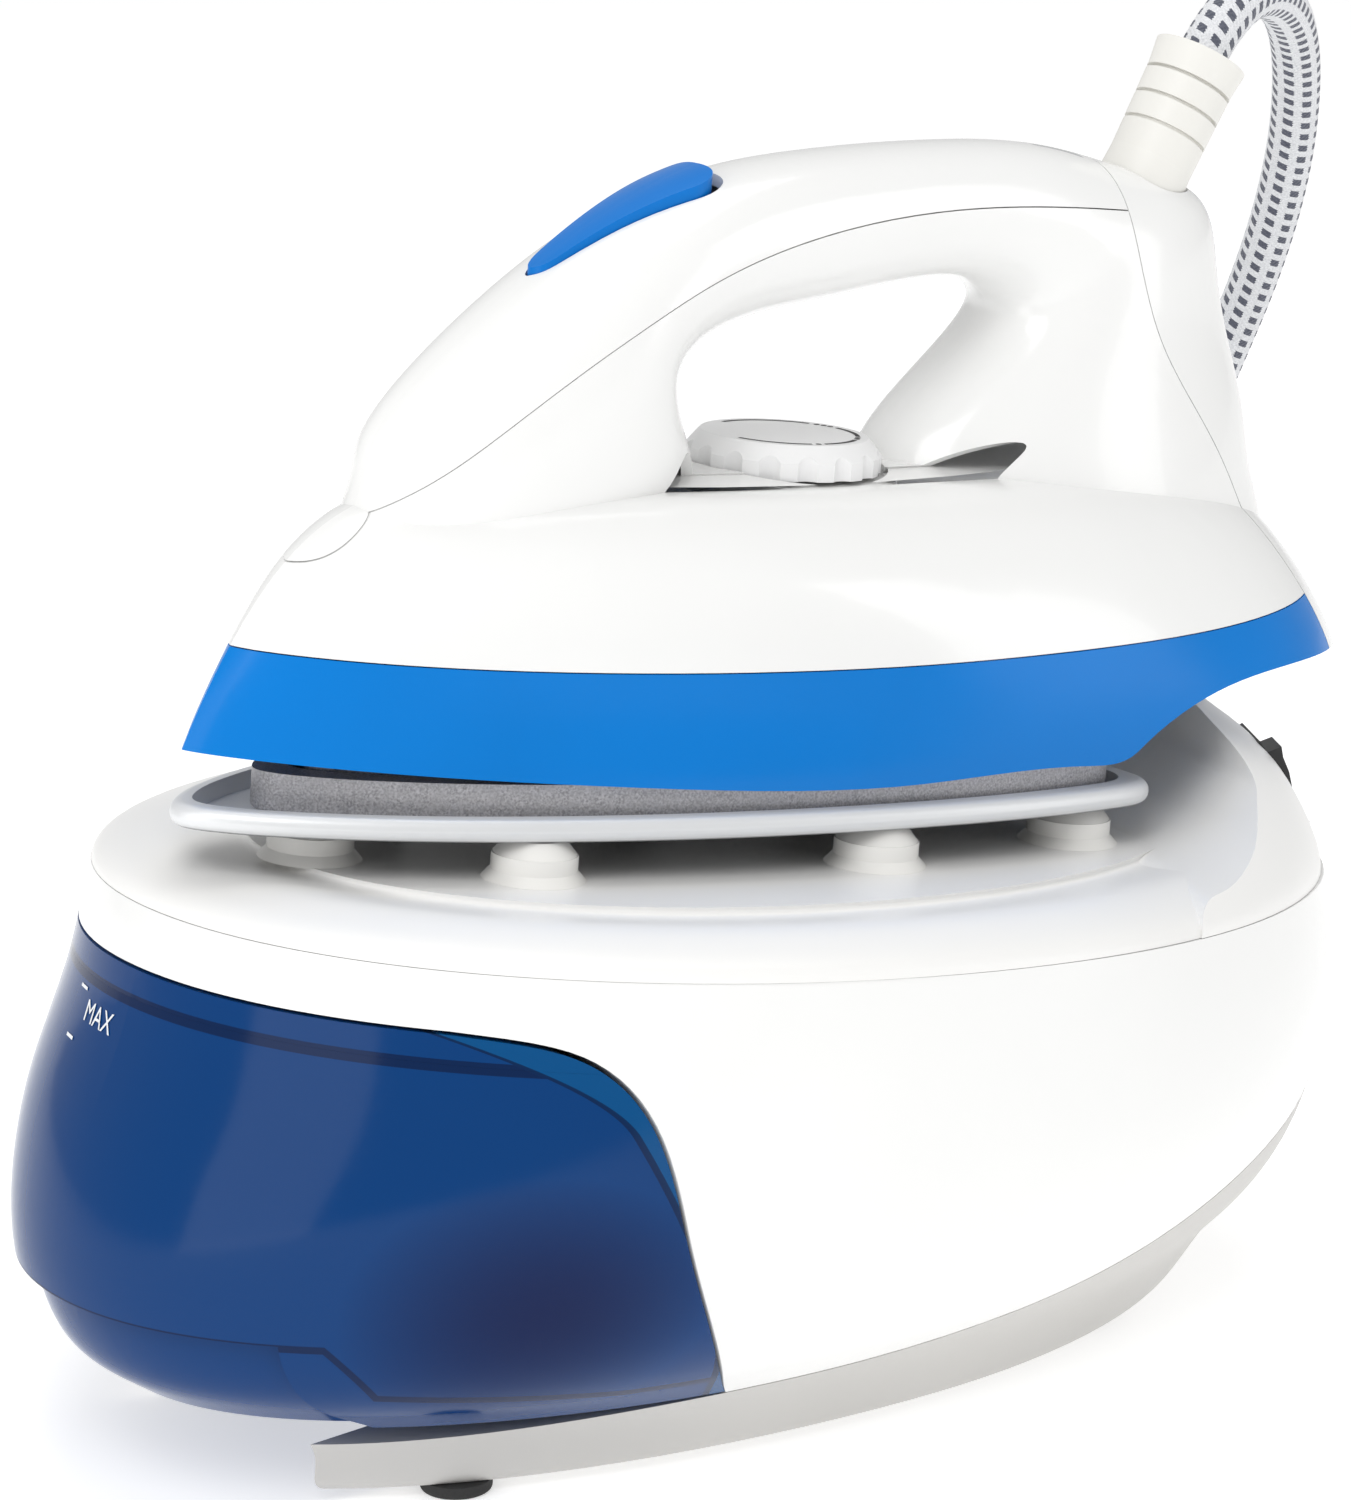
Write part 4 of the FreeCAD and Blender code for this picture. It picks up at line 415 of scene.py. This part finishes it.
# ---------------------------------------------------------------- materials on the CAD nodes
def make_finishes():
    white = (0.86, 0.86, 0.85)
    warm = (0.87, 0.865, 0.85)
    azure = (0.0, 0.185, 0.60)
    return {
        "white_iron": plastic("white_iron", white, 0.20, grain=600.0, bump=0.02, vary=0.01, coat=0.35),
        "white_housing": plastic(
            "white_housing", shade(white, 0.99), 0.24, grain=600.0, bump=0.02, vary=0.01, coat=0.3,
        ),
        "warm_cover": plastic("warm_cover", warm, 0.34, grain=1100.0, bump=0.10, vary=0.015),
        "azure_skirt": plastic("azure_skirt", azure, 0.22, grain=700.0, bump=0.03, vary=0.05, shine=0.22),
        "azure_trigger": plastic(
            "azure_trigger", (0.0, 0.17, 0.58), 0.3, grain=1000.0, bump=0.06, vary=0.05, shine=0.2,
        ),
        "tank_blue": tank_finish("tank_blue"),
        "base_grey": plastic("base_grey", (0.56, 0.55, 0.53), 0.42, grain=1300.0, bump=0.16, vary=0.03),
        "rubber": plastic("rubber", (0.03, 0.03, 0.03), 0.8, grain=1500.0, bump=0.3, vary=0.1),
        "tray": tray_finish("tray"),
        "peg": plastic("peg", (0.83, 0.82, 0.79), 0.38, grain=1000.0, bump=0.08, vary=0.02),
        "cast": speckled_cast("cast"),
        "boot": plastic("boot", (0.80, 0.79, 0.75), 0.45, grain=1000.0, bump=0.12, vary=0.03),
        "black": plastic("black", (0.012, 0.012, 0.013), 0.3, grain=1000.0, bump=0.05, vary=0.1),
        "dial_white": plastic("dial_white", (0.84, 0.84, 0.84), 0.36, grain=1300.0, bump=0.08, vary=0.01),
        "mark_black": plastic("mark_black", (0.01, 0.01, 0.01), 0.5, grain=800.0, bump=0.05, vary=0.1),
        "mark_white": plastic("mark_white", (0.8, 0.82, 0.85), 0.5, grain=800.0, bump=0.05, vary=0.02),
        "steel": metal("steel", (0.62, 0.62, 0.63), 0.3),
        "dark_steel": metal("dark_steel", (0.35, 0.35, 0.37), 0.4),
        "brass": metal("brass", (0.78, 0.57, 0.28), 0.28),
        "silver_lens": plastic(
            "silver_lens", (0.42, 0.43, 0.44), 0.15, grain=500.0, bump=0.02, vary=0.06, coat=0.6,
        ),
        "board": board_finish("board"),
        "silicone": plastic("silicone", (0.62, 0.58, 0.50), 0.5, grain=800.0, bump=0.1),
        "inner_grey": plastic("inner_grey", (0.42, 0.42, 0.43), 0.45, grain=900.0, bump=0.1),
        "braid": braid_finish("braid"),
    }


NODE_FINISH = {
    "white_iron": ["main_housing", "handle_top_cover", "rear_cover"],
    "white_housing": ["side_housing"],
    "warm_cover": ["top_cover"],
    "azure_skirt": ["skirt"],
    "azure_trigger": ["steam_trigger"],
    "tank_blue": ["water_tank", "tank_lid"],
    "base_grey": ["bottom_shell"],
    "rubber": ["rubber_feet", "pump_cushions"],
    "tray": ["iron_rest_tray"],
    "peg": ["tray_pegs", "filler_cap"],
    "cast": ["soleplate"],
    "boot": ["hose_boot", "steam_hose_gland", "mains_inlet_gland"],
    "black": [
        "power_rocker", "switch_frame", "terminal_block", "trigger_switch", "boiler_thermostat",
        "iron_thermostat", "steam_solenoid_valve",
    ],
    "dial_white": ["temperature_dial"],
    "steel": [
        "tray_screws", "case_screws", "boiler_bolts", "sole_screws", "rear_cover_screw", "trigger_spring",
        "tank_valve_spring", "boiler_pot", "boiler_lid", "dial_spindle", "heat_shield", "steam_chamber_lid",
    ],
    "dark_steel": [
        "boiler_heating_element", "boiler_bracket", "sole_heating_element", "steam_tube", "thermal_fuse",
    ],
    "brass": ["pressure_relief_valve", "tank_valve_poppet"],
    "silver_lens": ["indicator_lens", "indicator_lamp"],
    "board": ["control_board"],
    "silicone": ["pump_inlet_hose", "pump_outlet_hose"],
    "inner_grey": ["tank_socket", "tank_valve_body", "water_pump"],
}


def dress_nodes(finishes):
    for finish, nodes in NODE_FINISH.items():
        for name in nodes:
            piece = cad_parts[name]
            for slot in piece.material_slots:
                slot.material = finishes[finish]


# ---------------------------------------------------------------- steam hose
def hose_points():
    """The hose's route: boot, loop behind the iron, table, put-away coil, station."""
    points = [
        BOOT_MOUTH, (0.1550, 0.0, 0.3049), (0.1971, 0.0230, 0.2920), (0.2151, 0.0460, 0.2400),
        LOOP_END, (0.2061, 0.1000, 0.1248), (0.1941, 0.1300, 0.0820), (0.1791, 0.1620, 0.0520),
        (0.1631, 0.1880, 0.0360),
    ]
    high = 2.5 * HOSE_D + COIL_GAP * 3.0
    steps = int(COIL_TURNS * COIL_POINTS)
    for i in range(steps + 1):
        turn = i / COIL_POINTS
        whole = math.floor(turn)
        drop = whole + min(1.0, max(0.0, (turn - whole - 0.5) * 2.0))
        a = 2.0 * math.pi * turn
        x = COIL_CENTRE.x + COIL_R * 1.01 * math.cos(a)
        y = COIL_CENTRE.y + COIL_R * 1.01 * math.sin(a)
        points.append((x, y, high - min(2.0, drop) * (HOSE_D + COIL_GAP)))
    points += [
        (0.0161, 0.1880, 0.0070), (0.0221, 0.1600, 0.0220), (0.0311, 0.1340, 0.0450),
        (0.0311, 0.1060, 0.0450),
    ]
    return points


def spline_line(points, per_span):
    """Points along the NURBS curve that has these control points."""
    curve = bpy.data.curves.new("route", "CURVE")
    curve.dimensions = "3D"
    curve.resolution_u = per_span
    spline = curve.splines.new("NURBS")
    spline.points.add(len(points) - 1)
    for point, place in zip(spline.points, points):
        point.co = (*place, 1.0)
    spline.order_u = 3
    spline.use_endpoint_u = True
    holder = bpy.data.objects.new("route", curve)
    bpy.context.collection.objects.link(holder)
    bpy.context.view_layer.update()
    mesh = bpy.data.meshes.new_from_object(holder)
    line = [vertex.co.copy() for vertex in mesh.vertices]
    bpy.data.objects.remove(holder)
    bpy.data.meshes.remove(mesh)
    return line


def even_line(line, step):
    """The same line with its points a fixed distance apart."""
    result = [line[0]]
    want = step
    gone = 0.0
    for a, b in zip(line, line[1:]):
        span = (b - a).length
        while span > 0.0 and gone + span >= want:
            result.append(a.lerp(b, (want - gone) / span))
            want += step
        gone += span
    return result


def tube_mesh(name, line, radius, around):
    """A round tube with a twist-free frame; U runs once round it and V is the length in metres."""
    bm = bmesh.new()
    layer = bm.loops.layers.uv.new("UVMap")
    tangent = (line[1] - line[0]).normalized()
    side = tangent.orthogonal().normalized()
    rings = []
    lengths = []
    gone = 0.0
    for i, place in enumerate(line):
        if i:
            gone += (place - line[i - 1]).length
            after = line[min(i + 1, len(line) - 1)]
            turned = (after - line[i - 1]).normalized()
            side = (side - turned * side.dot(turned)).normalized()
            tangent = turned
        other = tangent.cross(side)
        ring = []
        for k in range(around):
            a = 2.0 * math.pi * k / around
            ring.append(bm.verts.new(place + (side * math.cos(a) + other * math.sin(a)) * radius))
        rings.append(ring)
        lengths.append(gone)
    for i in range(len(rings) - 1):
        for k in range(around):
            k2 = (k + 1) % around
            face = bm.faces.new((rings[i][k], rings[i][k2], rings[i + 1][k2], rings[i + 1][k]))
            corners = ((k, i), (k + 1, i), (k + 1, i + 1), (k, i + 1))
            for loop, (u, v) in zip(face.loops, corners):
                loop[layer].uv = (u / around, lengths[v])
    bm.faces.new(rings[0][::-1])
    bm.faces.new(rings[-1])
    return mesh_object(name, bm, smooth=True)


def make_hose(finishes):
    line = even_line(spline_line(hose_points(), 24), 0.0018)
    hose = tube_mesh("steam_hose", line, HOSE_D / 2.0, 30)
    hose.data.materials.append(finishes["braid"])
    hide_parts("steam_hose_upper", "steam_hose_lower", "steam_hose_return", "steam_hose_coil")
    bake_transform(hose)


# ---------------------------------------------------------------- dial print
def disc_arc(bm, centre, u_axis, v_axis, radius, width, start, end, steps):
    """A thin flat band along part of a circle."""
    previous = None
    for i in range(steps + 1):
        a = math.radians(start + (end - start) * i / steps)
        way = u_axis * math.cos(a) + v_axis * math.sin(a)
        inner = bm.verts.new(centre + way * (radius - width / 2))
        outer = bm.verts.new(centre + way * (radius + width / 2))
        pair = (inner, outer)
        if previous:
            bm.faces.new((previous[0], previous[1], pair[1], pair[0]))
        previous = pair


def make_dial_marks(finishes):
    """A ring printed round the dial's top, broken by groups of one, two and three heat dots."""
    top = DIAL_TOP + IRON_UP * PRINT_LIFT
    across = Vector((0.0, 1.0, 0.0))
    radius = 0.0168
    line_width = 0.0011
    dot_pitch = 6.4
    bm = bmesh.new()
    start = -165.0
    for middle, count in ((-100.0, 1), (-45.0, 2), (20.0, 3)):
        gap = 3.6 * count + 2.0
        disc_arc(bm, top, IRON_BACK, across, radius, line_width, start, middle - gap, 40)
        start = middle + gap
        for k in range(count):
            a = math.radians(middle + dot_pitch * (k - (count - 1) / 2.0))
            spot = top + (IRON_BACK * math.cos(a) + across * math.sin(a)) * radius
            disc_arc(bm, spot, IRON_BACK, across, 0.00037, 0.0007, 0.0, 360.0, 16)
    disc_arc(bm, top, IRON_BACK, across, radius, line_width, start, 110.0, 60)
    marks = mesh_object("dial_marks", bm)
    marks.data.materials.append(finishes["mark_black"])
    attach(marks, "dial")


# ---------------------------------------------------------------- deck round the dial
def make_deck_plate(finishes):
    """A slightly crowned white plate on the deck under the handle, cut away round the dial."""
    dial_u = 0.0215                                    # dial axis, along the iron
    clear = 0.0236                                     # radius kept free for the dial
    half_long = 0.0850
    half_wide = 0.0225
    level = 0.07142                                    # over the sole, on the middle line
    crown = 0.0016                                     # the edges are lower by this much
    strips = 28
    bm = bmesh.new()
    for side in (-1.0, 1.0):
        previous = None
        for i in range(strips + 1):
            y = half_wide * (2.0 * i / strips - 1.0) * 0.992
            near = dial_u + side * math.sqrt(clear ** 2 - y ** 2)
            far = dial_u + side * half_long * math.sqrt(1.0 - (y / half_wide) ** 2)
            far = side * max(side * far, side * near + 0.0001)
            height = level - crown * (y / half_wide) ** 2
            pair = (bm.verts.new(on_iron(near, y, height)), bm.verts.new(on_iron(far, y, height)))
            if previous:
                bm.faces.new((previous[0], previous[1], pair[1], pair[0]))
            previous = pair
    bmesh.ops.recalc_face_normals(bm, faces=bm.faces)
    plate = mesh_object("deck_plate", bm)
    plate.data.materials.append(finishes["white_iron"])
    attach(plate, "iron")


# ---------------------------------------------------------------- water level print on the tank
def make_level_text(finishes):
    """The generic word MAX and two ticks, laid on the front of the tank."""
    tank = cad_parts["water_tank"]
    text_side = 0.0180                                 # left end of the word, off the middle plane
    text_height = 0.1000                               # its foot, over the table
    tick_left = -0.0060
    tick_right = -0.0020
    tick_thick = 0.0007
    data = bpy.data.curves.new("level_text", "FONT")
    data.body = "MAX"
    data.size = 0.0064
    holder = bpy.data.objects.new("level_text", data)
    bpy.context.collection.objects.link(holder)
    bpy.context.view_layer.update()
    flat = bpy.data.meshes.new_from_object(holder)
    bpy.data.objects.remove(holder)
    bm = bmesh.new()
    bm.from_mesh(flat)
    bpy.data.meshes.remove(flat)
    for low in (-0.0050, 0.0055):
        high = low + tick_thick
        corners = ((tick_left, low), (tick_right, low), (tick_right, high), (tick_left, high))
        bm.faces.new([bm.verts.new((x, y, 0.0)) for x, y in corners])
    backwards = Vector((1.0, 0.0, 0.0))
    for vertex in bm.verts:
        start = Vector((-0.3, text_side - vertex.co.x, text_height + vertex.co.y))
        place, normal = tank.ray_cast(start, backwards)[1:3]
        vertex.co = place + normal * 0.0002
    text = mesh_object("level_text", bm)
    text.data.materials.append(finishes["mark_white"])
    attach(text, "tank")


make_camera()
finishes = make_finishes()
make_stage()
dress_nodes(finishes)
make_hose(finishes)
make_dial_marks(finishes)
make_deck_plate(finishes)
make_level_text(finishes)
